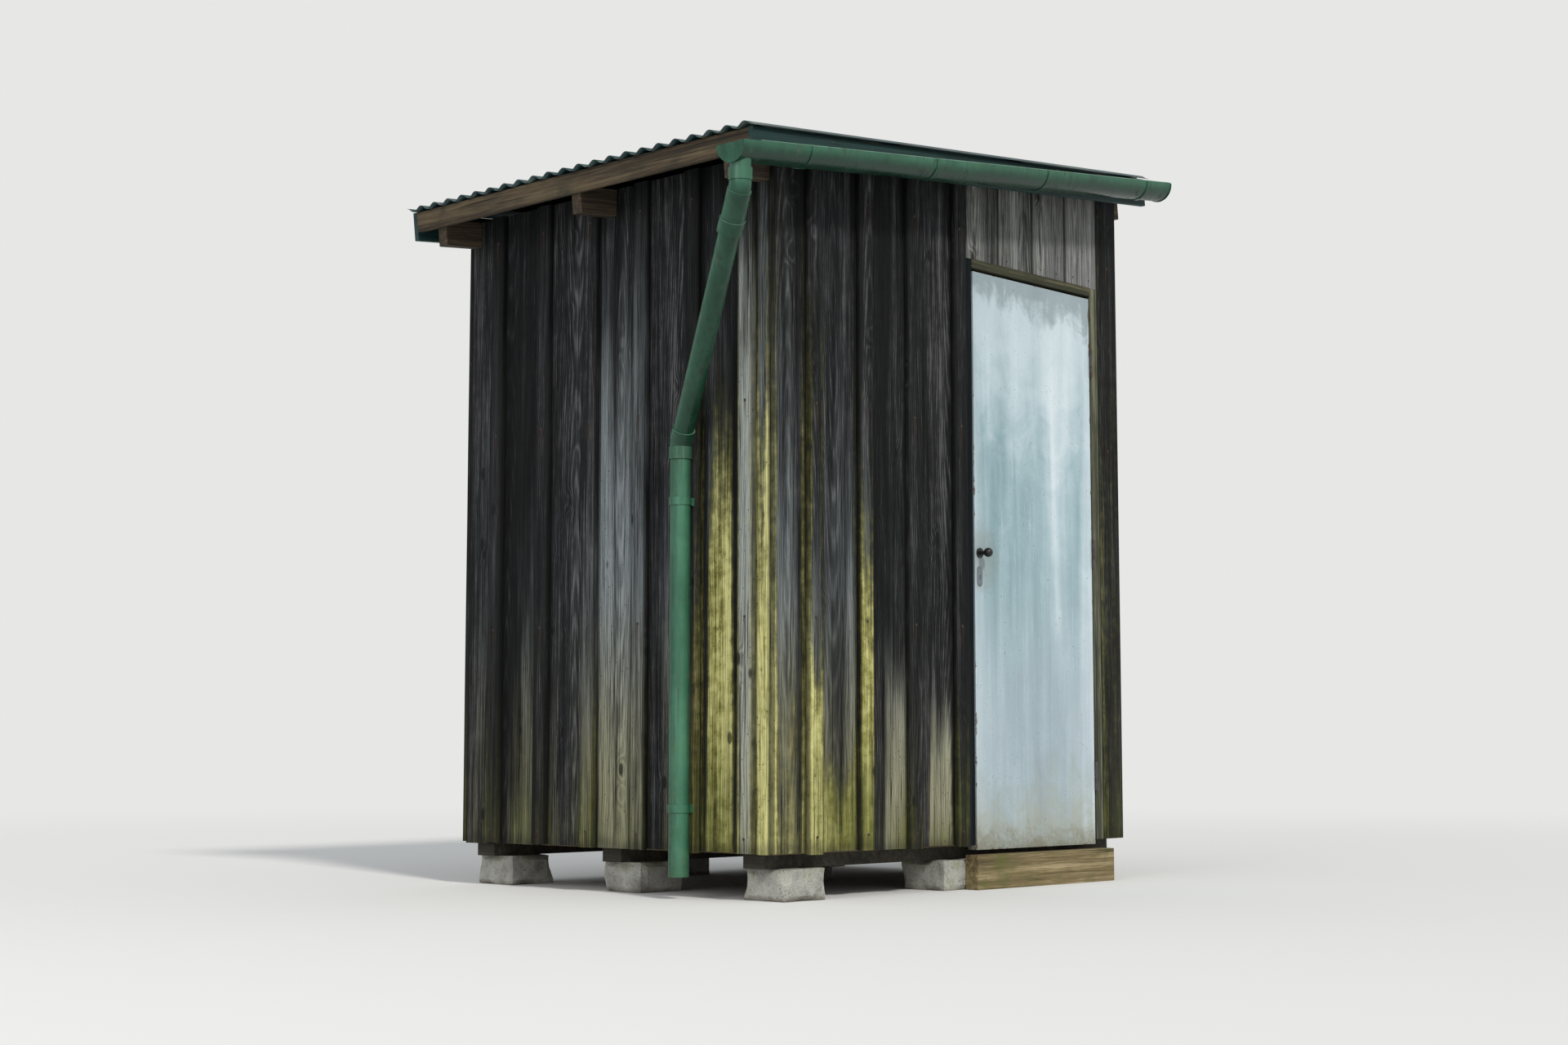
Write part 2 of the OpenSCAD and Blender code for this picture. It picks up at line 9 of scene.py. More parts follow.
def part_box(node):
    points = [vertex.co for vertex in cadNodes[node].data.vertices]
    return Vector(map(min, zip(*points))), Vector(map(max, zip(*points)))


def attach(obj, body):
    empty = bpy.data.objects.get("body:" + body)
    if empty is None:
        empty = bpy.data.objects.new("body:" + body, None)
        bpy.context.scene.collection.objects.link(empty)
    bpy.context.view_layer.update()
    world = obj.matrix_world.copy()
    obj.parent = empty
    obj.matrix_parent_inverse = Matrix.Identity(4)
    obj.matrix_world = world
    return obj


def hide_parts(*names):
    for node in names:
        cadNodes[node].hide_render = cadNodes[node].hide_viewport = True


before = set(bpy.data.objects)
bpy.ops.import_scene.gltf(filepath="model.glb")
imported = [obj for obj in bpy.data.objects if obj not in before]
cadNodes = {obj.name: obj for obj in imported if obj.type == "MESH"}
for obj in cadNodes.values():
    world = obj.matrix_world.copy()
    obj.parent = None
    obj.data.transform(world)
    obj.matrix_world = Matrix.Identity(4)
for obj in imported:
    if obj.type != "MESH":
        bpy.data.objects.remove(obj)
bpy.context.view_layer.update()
print("frame loaded,", len(cadNodes), "nodes")


def box(name):
    lo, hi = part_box(name)
    return Vector(lo), Vector(hi)


roofPitch = radians(6)      # the roof falls to the left wall
fall = tan(roofPitch)
upSlope = Vector((cos(roofPitch), 0, sin(roofPitch)))
offSlope = Vector((-sin(roofPitch), 0, cos(roofPitch)))
waveLength, waveHeight, sheetT = 0.076, 0.017, 0.0009      # the roof sheets
frontLo, frontHi = box("front_wall")
leftLo, leftHi = box("left_wall")
rightLo, rightHi = box("right_wall")
backLo, backHi = box("back_wall")
roofLo, roofHi = box("roof_sheet_front")


def srgb(*levels):
    # a colour as a picture shows it, 0 to 255, made linear
    levels = [level / 255 for level in levels]
    return (*(v / 12.92 if v <= 0.04045 else ((v + 0.055) / 1.055) ** 2.4 for v in levels), 1.0)


class Wire:
    # one output socket; an operator on it adds the node that works it out
    def __init__(self, tree, socket=None):
        self.tree = tree
        self.socket = socket

    def node(self, kind, settings=None, inputs=None, out=0):
        made = self.tree.nodes.new(kind)
        for key, value in (settings or {}).items():
            if key == "stops":
                ramp = made.color_ramp.elements      # it comes with two stops
                for number, (place, colour) in enumerate(value):
                    stop = ramp[number] if number < 2 else ramp.new(place)
                    stop.position = place
                    stop.color = srgb(*colour)
            else:
                setattr(made, key, value)
        for key, value in (inputs or {}).items():
            for one in value if isinstance(value, list) else [value]:
                if isinstance(one, Wire):
                    self.tree.links.new(one.socket, made.inputs[key])
                else:
                    made.inputs[key].default_value = one
        return Wire(self.tree, made.outputs[out] if made.outputs else None)

    def work(self, operation, first, second):
        both = (first, second)
        if any(isinstance(v, tuple) or isinstance(v, Wire) and v.socket.type == "VECTOR" for v in both):
            first, second = ((v, v, v) if isinstance(v, (int, float)) else v for v in both)
            return self.node("ShaderNodeVectorMath", {"operation": operation}, {0: first, 1: second})
        return self.node("ShaderNodeMath", {"operation": operation}, {0: first, 1: second})

    def __add__(self, other):
        return self.work("ADD", self, other)

    __radd__ = __add__

    def __sub__(self, other):
        return self.work("SUBTRACT", self, other)

    def __rsub__(self, other):
        return self.work("SUBTRACT", other, self)

    def __mul__(self, other):
        return self.work("MULTIPLY", self, other)

    __rmul__ = __mul__

    def __truediv__(self, other):
        return self.work("DIVIDE", self, other)

    def __rtruediv__(self, other):
        return self.work("DIVIDE", other, self)

    def __pow__(self, other):
        return self.work("POWER", self, other)

    def most(self, other):
        return self.work("MAXIMUM", self, other)

    def least(self, other):
        return self.work("MINIMUM", self, other)

    def single(self, operation):
        return self.node("ShaderNodeMath", {"operation": operation}, {0: self})

    def part(self, axis):
        return self.node("ShaderNodeSeparateXYZ", None, {0: self}, axis)

    def vector(self, x, y, z):
        return self.node("ShaderNodeCombineXYZ", None, {0: x, 1: y, 2: z})

    def rise(self, low, high):
        # 0 at low and 1 at high, smooth between; with low above high it falls
        return self.node("ShaderNodeMapRange", {"interpolation_type": "SMOOTHSTEP"},
                         {"Value": self, "From Min": low, "From Max": high})

    def cloud(self, scale=1, detail=4, rough=0.6, bend=0):
        # noise from 0 to 1; a scale of three numbers draws it out along an axis
        if isinstance(scale, tuple):
            return (self * scale).cloud(1, detail, rough, bend)
        return self.node("ShaderNodeTexNoise", None, {
            "Vector": self, "Scale": scale, "Detail": detail, "Roughness": rough, "Distortion": bend})

    def cells(self, scale=1):
        # how far off the nearest of many scattered points is
        return self.node("ShaderNodeTexVoronoi", None, {"Vector": self, "Scale": scale}, "Distance")

    def ramp(self, *stops):
        return self.node("ShaderNodeValToRGB", {"stops": stops}, {0: self})

    def mix(self, first, second):
        # the first colour where this is 0, the second where it is 1
        first, second = (srgb(*colour) if isinstance(colour, tuple) else colour for colour in (first, second))
        return self.node("ShaderNodeMix", {"data_type": "RGBA"}, {0: self, 6: first, 7: second}, 2)


def startFinish(name):
    finish = bpy.data.materials.new(name)
    finish.use_nodes = True
    finish.node_tree.nodes.clear()
    return finish, Wire(finish.node_tree).node("ShaderNodeTexCoord", out="Object")


def layered(colour, *coats):
    # coats laid over a colour one after another, each as how much of it there is and its own colour
    for cover, coat in coats:
        colour = cover.mix(colour, coat)
    return colour


def closeFinish(finish, colour, roughness, height, depth, gloss=0.5, metal=0.0):
    # the shader of every finish, with a bump worked out from height
    normal = colour.node("ShaderNodeBump", None, {"Height": height, "Distance": depth})
    shader = colour.node("ShaderNodeBsdfPrincipled", None, {
        "Base Color": colour, "Roughness": roughness, "Normal": normal, "Specular IOR Level": gloss,
        "Metallic": metal})
    colour.node("ShaderNodeOutputMaterial", None, {"Surface": shader})
    return finish


def houseDepth(spot):
    # how far in from the outer faces of the walls
    x, y = spot.part(0), spot.part(1)
    return (x - frontLo.x).least(backHi.x - x).least(y - frontLo.y).least(backHi.y - y)


# nails go through every batten into the rails: the rows of heads, and how far rust runs down below a head
nailing = {"first": 0.195, "rise": 0.682, "radius": 0.0052, "run": 0.11}
woodCrack = (12, 11, 11)

# What the weather did to a slat: how much moss there is and how high it climbs, how far the wood has bleached
# and up to what height, and where across the slat that band lies and half its width.
weathering = ("moss", "climb", "pale", "bleach", "lean", "band")


def boardFinish(name, look):
    finish, spot = startFinish(name)
    slat, over, edge, nailed, moss, climb, pale, bleach, lean, band = (
        spot.node("ShaderNodeAttribute", {"attribute_name": key}, out="Fac")
        for key in ("slat", "over", "edge", "nailed", *weathering))
    z = spot.part(2)
    # every board is cut from another part of the patterns, which swing round 0
    own = spot + slat * (7.0, 5.0, 3.0)
    broad = own.cloud((12, 12, 0.8), 3) - 0.5
    streak = own.cloud((48, 48, 1.7), 5, 0.7) - 0.5
    grain = own.cloud((260, 260, 7), 3, 0.7) - 0.5
    fibre = own.cloud((900, 900, 16), 3, 0.75) - 0.5
    patch = own.cloud((5, 5, 1.1), 3) - 0.5
    stripe = own.cloud((17, 17, 0.4), 2, 0.5) - 0.5
    film = own.cloud((34, 34, 1.3), 5, 0.7) - 0.5
    mottle = own.cloud(26, 4, 0.65) - 0.5
    # growth rings, a few millimetres apart, round a heart that runs beside the board, parted by a few knots
    ringTurn = 900
    knots = spot.vector(over * 9, z * 4.5 + slat * 31, slat * 90).cells()
    heart = over - (slat - 0.5) * 0.22
    depth = 0.02 + spot.work("PINGPONG", z * 0.045 + slat * 9, 0.06)
    radius = (heart * heart + depth * depth) ** 0.5 + broad * 0.016 + knots.rise(0.3, 0.05) * 0.012
    rings = (((radius * ringTurn).single("SINE") + 1) * 0.5) ** 2 - 0.5
    check = (own.cloud((190, 190, 1.8), 3, 0.5, 0.6) + fibre * 0.12).rise(0.61, 0.64)
    tone = (broad * 0.6 + stripe * 0.5 + streak * 1.1 + grain * 0.8 + mottle * 0.3 + fibre * 0.7
            + rings * 0.22 + (slat - 0.5) * 0.24 + 0.436)
    # dry, bleached wood, bluish higher up and tan near the foot
    level = (z + broad * 0.7) / bleach.most(0.05)
    aside = (over - lean + patch * 0.03) / band.most(0.01)
    inBand = (aside * aside).rise(1.7, 0.3)
    dry = 0.14 + pale * level.rise(1.25, 0.35) * inBand
    dry = (dry * (1 + patch * 1.6 + stripe * 2.6 + streak * 2.2)).rise(0.1, 0.95)
    worn = (grain * 0.8 + fibre * 0.9 + streak * 0.8 + rings * 0.3 + 0.5).rise(0.22, 0.62)
    bleached = z.rise(1.1, 0.3).mix(look["dry"], look["dryFoot"])
    bleached = (pale.rise(1.0, 2.6) * 0.6).mix(bleached, (178, 182, 172))
    # algae climb from the foot and along the arrises, most of them near the front left corner
    fromCorner = (spot.part(0) - frontLo.x).most(spot.part(1) - frontLo.y)
    corner = fromCorner.rise(0.5, 0.04)
    reach = (z + patch * 0.5 + broad * 0.4) / climb.most(0.05)
    thinFilm = (z + film + patch * 0.8).rise(2.4, 1.2)
    growth = (moss * reach.rise(1.25, 0.4) * inBand + corner * 0.1 + z.rise(0.4, 0.16) * 0.12
              + edge.rise(0.02, 0.003) * 0.16 * reach.rise(1.5, 0.8)
              + edge.rise(0.026, 0) * 0.38 * thinFilm * fromCorner.rise(0.9, 0.15))
    cover = (growth * (1.05 + stripe * 1.8 + film * 1.2 + patch * 0.6 + mottle * 0.6)).rise(0.08, 1.05)
    green = (film * 0.7 + grain * 0.4 + mottle * 0.5 + cover * 0.26 + corner * corner * 0.13 + 0.28).ramp(
        (0.3, look["mossDark"]), (0.5, look["moss"]), (0.72, look["mossPale"]))
    footGreen = (film + grain * 0.5 + 0.25).ramp((0.1, look["mossDark"]), (0.45, look["mossFoot"]))
    green = ((z + film * 0.3).rise(0.62, 0.26) * 0.75 * (1 - corner * corner)).mix(green, footGreen)
    # crusts of lichen, no bigger than a fingernail, and dark specks in pale wood
    crust = own.cells(60)
    lichen = (crust + mottle * 0.6).rise(0.16, 0.06) * (patch + cover * 0.12).rise(0.02, 0.14)
    lichen = lichen * (cover + dry).rise(0.1, 0.5)
    pepper = (crust + mottle * 0.4).rise(0.15, 0.09) * (dry + cover * 0.6).rise(0.4, 0.9)
    # dark knots, damp feet, and beside a batten a darker band in the damp colour, partly grime and partly
    # painted shade in the corner
    knot = knots.rise(0.12, 0.07) * 0.8
    damp = (z + patch * 0.09).rise(0.2, 0.155)
    battenShadeAndDirt = (edge + film * 0.012).rise(0.011, 0.001)
    # rust that has run down from the nails
    below = nailing["rise"] - spot.work("FLOORED_MODULO", z - nailing["first"], nailing["rise"])
    rust = ((over * over).rise(0.00004, 0.000004) * below.rise(nailing["run"], 0.0)
            * (nailed - z).rise(-0.006, -0.003))
    # the inside never saw the weather
    clean = (tone + rings * 0.3).ramp((0.3, (74, 58, 44)), (0.5, (112, 90, 68)), (0.72, (146, 122, 96)))
    colour = layered(
        tone.ramp(*look["tones"]),
        (dry * (0.5 + 0.5 * worn) * look["dryness"], bleached),
        (cover ** 0.8 * (0.8 + 0.2 * worn) * 0.97, green),
        (lichen * 0.45, look["lichen"]), (pepper * 0.65, look["damp"]), (knot, woodCrack),
        (damp * 0.45, look["damp"]), (battenShadeAndDirt * 0.7, look["damp"]), (check * (0.85 - cover * 0.45), woodCrack),
        (rust * (0.55 + 0.6 * streak), look["rust"]),
        (houseDepth(spot).rise(0.0044, 0.0084), knot.mix(clean, (48, 32, 22))))
    height = grain * 0.5 + fibre * 0.3 + streak * 0.5 + rings * 0.35 - check * 1.3
    return closeFinish(finish, colour, 0.825 + 0.25 * grain, height, 0.0032, 0.18)


def timberFinish(name, look):
    # sawn timber and boards with a single grain direction; old paint can cover it
    finish, spot = startFinish(name)
    look = {"axis": 0, "stained": 0.5, "gloss": 0.3, **look}
    turned = spot
    if look.get("onRoof"):
        turned = spot.node("ShaderNodeMapping", None, {"Vector": spot, "Rotation": (0.0, roofPitch, 0.0)})

    def figure(across, along, detail, rough=0.6, bend=0):
        # noise drawn out along the grain, which runs along one axis: 0, 1 or 2
        scale = [across] * 3
        scale[look["axis"]] = along
        return turned.cloud(tuple(scale), detail, rough, bend)

    streak, grain, fibre = figure(55, 1.4, 5), figure(260, 5, 3, 0.7), figure(800, 16, 3, 0.7)
    check = figure(95, 1.6, 2, 0.5, 0.3).rise(0.64, 0.7)
    tone = figure(12, 0.8, 4) * 0.5 + streak * 0.5 + grain * 0.35 + fibre * 0.3 - 0.32
    colour = tone.ramp(*look["tones"])
    if "outdoors" in look:
        colour = houseDepth(spot).rise(0.02, -0.001).mix(colour, tone.ramp(*look["outdoors"]))
    blotch = spot.cloud(7)
    colour = (blotch.rise(0.5, 0.72) * look["stained"]).mix(colour, look["stain"])
    rough = 0.7 + 0.2 * grain
    height = grain * 0.4 + fibre * 0.25 + streak * 0.5 - check * 0.8
    if "paint" in look:
        kept = (figure(34, 6, 5, 0.65) + blotch * 0.35).rise(look["flaking"], look["flaking"] + 0.05)
        colour = kept.mix(colour, streak.ramp((0.3, look["paintDark"]), (0.6, look["paint"])))
        height = height + kept * 0.7
        rough = rough - kept * 0.2
    return closeFinish(finish, (check * 0.6).mix(colour, woodCrack), rough, height, 0.0016, look["gloss"])


def ironFinish():
    # corrugated iron, its dark coat dulled, with dust, grime in the valleys, lichen, and rust at the cut ends
    finish, spot = startFinish("roofIron")
    x = spot.part(0)
    wash = spot.cloud((1.2, 30, 1.2), 5)
    cloudy = spot.cloud(3.2, 5)
    fine = spot.cloud(160, 3)
    valley = ((spot.part(1) - roofLo.y) * (2 * pi / waveLength)).single("COSINE").rise(0.1, 1.0)
    litter = valley * (spot.cloud((2.2, 9, 2.2), 4, 0.7) + (fine - 0.5) * 0.3).rise(0.4, 0.62)
    lichen = spot.cloud(46, 5, 0.7).rise(0.6, 0.66) * cloudy.rise(0.42, 0.6)
    ends = (x - roofLo.x).least(roofHi.x - x).rise(0.018, 0.0)
    rust = (ends * 0.16 + spot.cloud(34, 5, 0.7) * 0.9 - 0.66).rise(0.0, 0.1)
    colour = layered(
        (wash * 0.6 + cloudy * 0.5).ramp((0.36, (16, 40, 46)), (0.56, (30, 60, 64)), (0.74, (62, 88, 88))),
        (cloudy.rise(0.5, 0.75) * wash.rise(0.4, 0.65) * 0.55, (120, 128, 118)),
        (litter * 0.75, (52, 50, 36)),
        (lichen * 0.8, (150, 152, 112)),
        (rust * 0.75, fine.ramp((0.35, (44, 30, 22)), (0.65, (96, 62, 40)))))
    rough = 0.42 + wash * 0.2 + rust * 0.25 + lichen * 0.25 + litter * 0.25
    return closeFinish(finish, colour, rough, fine * 0.4 + rust * 0.6 + lichen, 0.0008)


def plasticFinish():
    # green gutter plastic: lighter on the side that faces the sun lamp, partly faded and partly painted
    # light; pale on top, partly chalky and partly a painted highlight; darker underneath as painted shade;
    # streaked with grime that ran down
    finish, spot = startFinish("greenPlastic")
    cloudy = spot.cloud(5, 5)
    runs = spot.cloud((38, 38, 1.6), 5)
    fine = spot.cloud(240, 3)
    outward = spot.node("ShaderNodeNewGeometry", out="Normal")
    upward = outward.part(2)
    # lighter on the side that faces the sun lamp: partly fading, partly painted light
    sunFadeAndPaintedLight = upward * 0.45 - outward.part(0) * 0.5 - outward.part(1) * 0.74
    # pale where it faces up: partly chalking, partly a painted highlight
    chalkAndHighlight = upward.rise(0.2, 0.95) * cloudy.rise(0.3, 0.6)
    grime = runs.rise(0.46, 0.66) * cloudy.rise(0.34, 0.58)
    film = (spot.cloud(60, 5, 0.75) + (runs - 0.5) * 0.8 + spot.part(2).rise(1.3, 0.1) * 0.12).rise(0.6, 0.8)
    colour = layered(
        (cloudy * 0.6 + runs * 0.45).ramp((0.38, (16, 58, 42)), (0.52, (28, 80, 58)), (0.7, (62, 116, 92))),
        (sunFadeAndPaintedLight.rise(0.4, 0.98) * (0.1 + 0.5 * cloudy), (88, 142, 114)),
        (chalkAndHighlight * 0.5, (136, 160, 136)),
        (grime * 0.7, (30, 42, 32)),
        # painted shade: darker where the surface faces down
        (upward.rise(-0.1, -0.8) * 0.7, (14, 34, 25)),
        (film * 0.3, (92, 106, 64)))
    rough = 0.18 + 0.25 * cloudy + 0.3 * grime
    return closeFinish(finish, colour, rough, fine * 0.3 + grime * 0.5, 0.0005, 0.36)


def doorFinish(lo, hi):
    # thin blue-white paint on a flush door, washed down in streaks, dirty at the foot
    finish, spot = startFinish("doorPaint")
    x, y, z = (spot.part(axis) for axis in range(3))
    broad = spot.cloud((6.5, 6.5, 0.7), 3, 0.5) - 0.5
    wash = spot.cloud((22, 22, 0.9), 4, 0.55) - 0.5
    brush = spot.cloud((170, 170, 2.5), 3) - 0.5
    craze = spot.cloud((60, 60, 16), 5, 0.75, 1.2) - 0.5
    fine = spot.cloud(90) - 0.5
    stain = spot.cloud(9, 5, 0.65, 0.6) - 0.5
    tone = broad * 0.75 + wash * 0.17 + brush * 0.06 + stain * 0.22 + 0.52
    marks = (brush * 1.2 + craze * 0.8).rise(0.1, 0.55)      # of the brush
    # paint washed thin below the head, whiter at the door's two sides
    lower = (z + stain * 0.9).rise(1.2, 0.5)
    upper = (z + stain * 0.5 + broad * 0.5).rise(hi.z - 0.75, hi.z - 0.2) * 0.5
    offMiddle = x - (lo.x + hi.x) / 2
    thin = upper.most((offMiddle * offMiddle * 7.5 + wash * 0.5).rise(0.45, 1.1) * 0.6)
    # a dark band under the head: partly water stain, partly painted shadow of the gutter and head
    headShadowAndDrips = (z + wash * 0.22 + stain * 0.34).rise(hi.z - 0.14, hi.z - 0.03)
    foot = (z + wash * 0.26 + stain * 0.5).rise(lo.z + 0.3, lo.z - 0.06)
    splash = (z + stain * 0.2 + fine * 0.12).rise(lo.z + 0.09, lo.z - 0.03)
    # where hands have pushed the door, beside the knob
    fromHandX, fromHandZ = x - (lo.x + 0.05), z - 1.12
    hands = (fromHandX * fromHandX * 60 + fromHandZ * fromHandZ * 26 + fine * 0.6).rise(0.6, 0.0)
    # how far the nearest arris is: the middle one of the distances to the three pairs of faces
    inX, inY, inZ = (x - lo.x).least(hi.x - x), (y - lo.y).least(hi.y - y), (z - lo.z).least(hi.z - z)
    arris = inX.least(inY).most(inX.most(inY).least(inZ)).rise(0.011, 0.0)
    chips = (arris * 0.17 + (spot * (1.0, 1.0, 0.6)).cloud(34, 5, 0.75) * 0.9 + stain * 0.9
             + z.rise(lo.z + 0.3, lo.z) * 0.04 - 0.73).rise(0.0, 0.03)
    speck = spot.cloud(150, 3).rise(0.65, 0.69) * stain.rise(-0.08, 0.1)
    indoor = (wash * 0.5 + broad * 0.5 + 0.5).ramp((0.35, (166, 176, 176)), (0.65, (200, 207, 206)))
    colour = layered(
        tone.ramp((0.34, (112, 139, 146)), (0.46, (137, 164, 171)), (0.58, (163, 185, 192)),
                  (0.72, (203, 215, 221))),
        (marks * 0.8, (214, 223, 228)), (lower * 0.35, (184, 187, 196)), (thin, (212, 222, 228)),
        (headShadowAndDrips * 0.62, (104, 119, 124)), (foot * 0.7, (159, 158, 138)), (splash * 0.6, (104, 100, 78)),
        (hands * 0.4, (128, 130, 122)), (chips * 0.9, (112, 92, 70)), (speck * 0.7, (88, 90, 78)),
        (y.rise(hi.y - 0.003, hi.y) * 0.75, indoor))
    height = brush * 0.4 + wash * 0.4 + broad * 1.6 + craze * 0.25 - chips * 0.6
    return closeFinish(finish, colour, 0.58 + 0.2 * wash + 0.2 * foot, height, 0.0012, 0.45)


def concreteFinish():
    # cast pads with pores, green at the top and soiled at the foot
    finish, spot = startFinish("padConcrete")
    z = spot.part(2)
    cloudy = spot.cloud(11, 6, 0.65)
    fine = spot.cloud(150, 5, 0.7)
    holes = spot.cells(95).rise(0.22, 0.1) * spot.cloud(30).rise(0.5, 0.6)
    film = (cloudy + z.rise(0.05, 0.1) * 0.1).rise(0.56, 0.66)
    soil = (z + cloudy * 0.03).rise(0.035, 0.008)
    colour = layered(
        (cloudy * 0.7 + fine * 0.35).ramp((0.36, (112, 110, 104)), (0.52, (158, 157, 150)),
                                          (0.72, (200, 199, 192))),
        (film * 0.5, (110, 116, 74)), (soil * 0.7, (92, 78, 62)), (holes * 0.7, (64, 62, 58)))
    return closeFinish(finish, colour, 0.9, fine * 0.5 + cloudy - holes * 1.2, 0.003, 0.25)


def metalFinish(name, look):
    finish, spot = startFinish(name)
    fine = spot.cloud(420, 4, 0.65)
    worn = (spot.cloud(30, 5, 0.65) * 0.5 + fine * 0.5).rise(look["wear"], look["wear"] + 0.1)
    colour = (worn * 0.9).mix(fine.ramp((0.35, look["dark"]), (0.65, look["plain"])), look["worn"])
    rough = look["rough"] + 0.2 * fine + worn * look["wornRough"]
    return closeFinish(finish, colour, rough, fine * 0.6 + worn * 0.5, 0.0003, metal=look["metal"])


darkBoards = boardFinish("darkBoards", {
    "tones": ((0.2, (7, 8, 10)), (0.42, (22, 24, 25)), (0.58, (41, 41, 43)), (0.82, (92, 91, 93))),
    "dry": (138, 146, 149), "dryFoot": (158, 156, 130), "dryness": 0.95,
    "moss": (135, 131, 62), "mossDark": (60, 63, 31), "mossPale": (212, 208, 140), "mossFoot": (122, 126, 50),
    "lichen": (112, 118, 102), "rust": (58, 36, 24), "damp": (16, 17, 15)})
greyBoards = boardFinish("greyBoards", {
    "tones": ((0.2, (50, 51, 50)), (0.42, (88, 90, 86)), (0.58, (114, 117, 111)), (0.82, (156, 158, 152))),
    "dry": (150, 150, 150), "dryFoot": (150, 148, 134), "dryness": 0.7,
    "moss": (112, 112, 70), "mossDark": (78, 82, 50), "mossPale": (150, 148, 100), "mossFoot": (112, 112, 70),
    "lichen": (160, 162, 140), "rust": (90, 60, 42), "damp": (34, 34, 32)})
# the frame is clean indoors, and weathered where its ends stand out
frameLook = {"tones": ((0.3, (82, 64, 46)), (0.5, (124, 100, 72)), (0.72, (160, 134, 102))),
             "outdoors": ((0.34, (34, 29, 23)), (0.5, (62, 52, 41)), (0.66, (104, 90, 72)))}
frameTimber = [timberFinish("frameTimber" + "XYZ"[axis], {**frameLook, "axis": axis, "stain": (66, 56, 45)})
               for axis in range(3)]
roofTimber = timberFinish("roofTimber", {**frameLook, "stain": (62, 54, 44), "onRoof": True})
brownEaves = timberFinish("brownEaves", {
    "axis": 1, "tones": ((0.34, (28, 24, 19)), (0.5, (57, 48, 36)), (0.66, (100, 87, 66))),
    "stain": (42, 45, 34), "stained": 0.7})
brownHead = timberFinish("brownHead", {
    "tones": ((0.34, (28, 28, 21)), (0.5, (60, 60, 43)), (0.66, (112, 108, 82))),
    "stain": (44, 50, 34), "stained": 0.6})
bargePaint = timberFinish("bargePaint", {
    "tones": ((0.3, (48, 46, 41)), (0.5, (78, 74, 67)), (0.72, (112, 107, 98))), "stain": (42, 50, 42),
    "onRoof": True, "paint": (28, 60, 57), "paintDark": (14, 38, 39), "flaking": 0.5})
# the left jamb: the same timber as the right one, finished near black with little gloss as painted shade
jambPaintedShade = timberFinish("jambPaintedShade", {
    "axis": 2, "tones": ((0.3, (7, 10, 13)), (0.5, (15, 20, 24)), (0.72, (38, 45, 49))),
    "stain": (27, 32, 26), "stained": 0.4, "gloss": 0.08})
jambGrey = timberFinish("jambGrey", {
    "axis": 2, "tones": ((0.34, (26, 28, 21)), (0.5, (62, 64, 50)), (0.66, (124, 124, 102))),
    "stain": (48, 51, 36), "stained": 0.4})
sillTimber = timberFinish("sillTimber", {
    "tones": ((0.34, (68, 58, 38)), (0.5, (116, 102, 70)), (0.66, (168, 152, 118))),
    "stain": (88, 92, 46), "stained": 0.75})
floorTimber = timberFinish("floorTimber", {
    "tones": ((0.3, (70, 58, 46)), (0.5, (108, 92, 74)), (0.72, (142, 126, 106))), "stain": (66, 60, 52)})
bearerTimber = timberFinish("bearerTimber", {
    "axis": 1, "tones": ((0.3, (26, 24, 20)), (0.5, (50, 46, 38)), (0.72, (84, 79, 66))),
    "stain": (30, 32, 24)})
roofIron = ironFinish()
greenPlastic = plasticFinish()
padConcrete = concreteFinish()
hingeSteel = metalFinish("hingeSteel", {
    "dark": (54, 53, 52), "plain": (104, 102, 100), "worn": (86, 62, 48), "wear": 0.5,
    "rough": 0.35, "wornRough": 0.35, "metal": 0.75})
nailSteel = metalFinish("nailSteel", {
    "dark": (40, 35, 32), "plain": (78, 71, 67), "worn": (76, 52, 40), "wear": 0.46,
    "rough": 0.5, "wornRough": 0.3, "metal": 0.5})
screwSteel = metalFinish("screwSteel", {
    "dark": (78, 75, 72), "plain": (142, 138, 131), "worn": (88, 66, 50), "wear": 0.52,
    "rough": 0.4, "wornRough": 0.3, "metal": 0.7})
knobBlack = metalFinish("knobBlack", {
    "dark": (14, 14, 15), "plain": (30, 30, 32), "worn": (78, 70, 58), "wear": 0.6,
    "rough": 0.28, "wornRough": 0.1, "metal": 0.2})
keyPlateSteel = metalFinish("keyPlateSteel", {
    "dark": (106, 115, 122), "plain": (136, 145, 151), "worn": (98, 90, 78), "wear": 0.56,
    "rough": 0.4, "wornRough": 0.3, "metal": 0.7})
print("finishes made")


# Geometry Nodes: every tree has named inputs and ends in Realize Instances and Set Material.
def startTree(name, counts, lengths):
    tree = bpy.data.node_groups.new(name, "GeometryNodeTree")
    tree.interface.new_socket("Geometry", in_out="OUTPUT", socket_type="NodeSocketGeometry")
    kinds = {**dict.fromkeys(counts.split(), "Int"), **dict.fromkeys(lengths.split(), "Float"),
             "Finish": "Material"}
    for key, kind in kinds.items():
        tree.interface.new_socket(key, in_out="INPUT", socket_type="NodeSocket" + kind)
    entry = tree.nodes.new("NodeGroupInput")
    return Wire(tree), {key: Wire(tree, entry.outputs[key]) for key in kinds}


def closeTree(shape, finish):
    shape = shape.node("GeometryNodeRealizeInstances", None, {0: shape})
    shape = shape.node("GeometryNodeSetMaterial", None, {"Geometry": shape, "Material": finish})
    shape.node("NodeGroupOutput", None, {0: shape})
    return shape.tree


def add(name, data):
    made = bpy.data.objects.new(name, data)
    bpy.context.collection.objects.link(made)
    return made


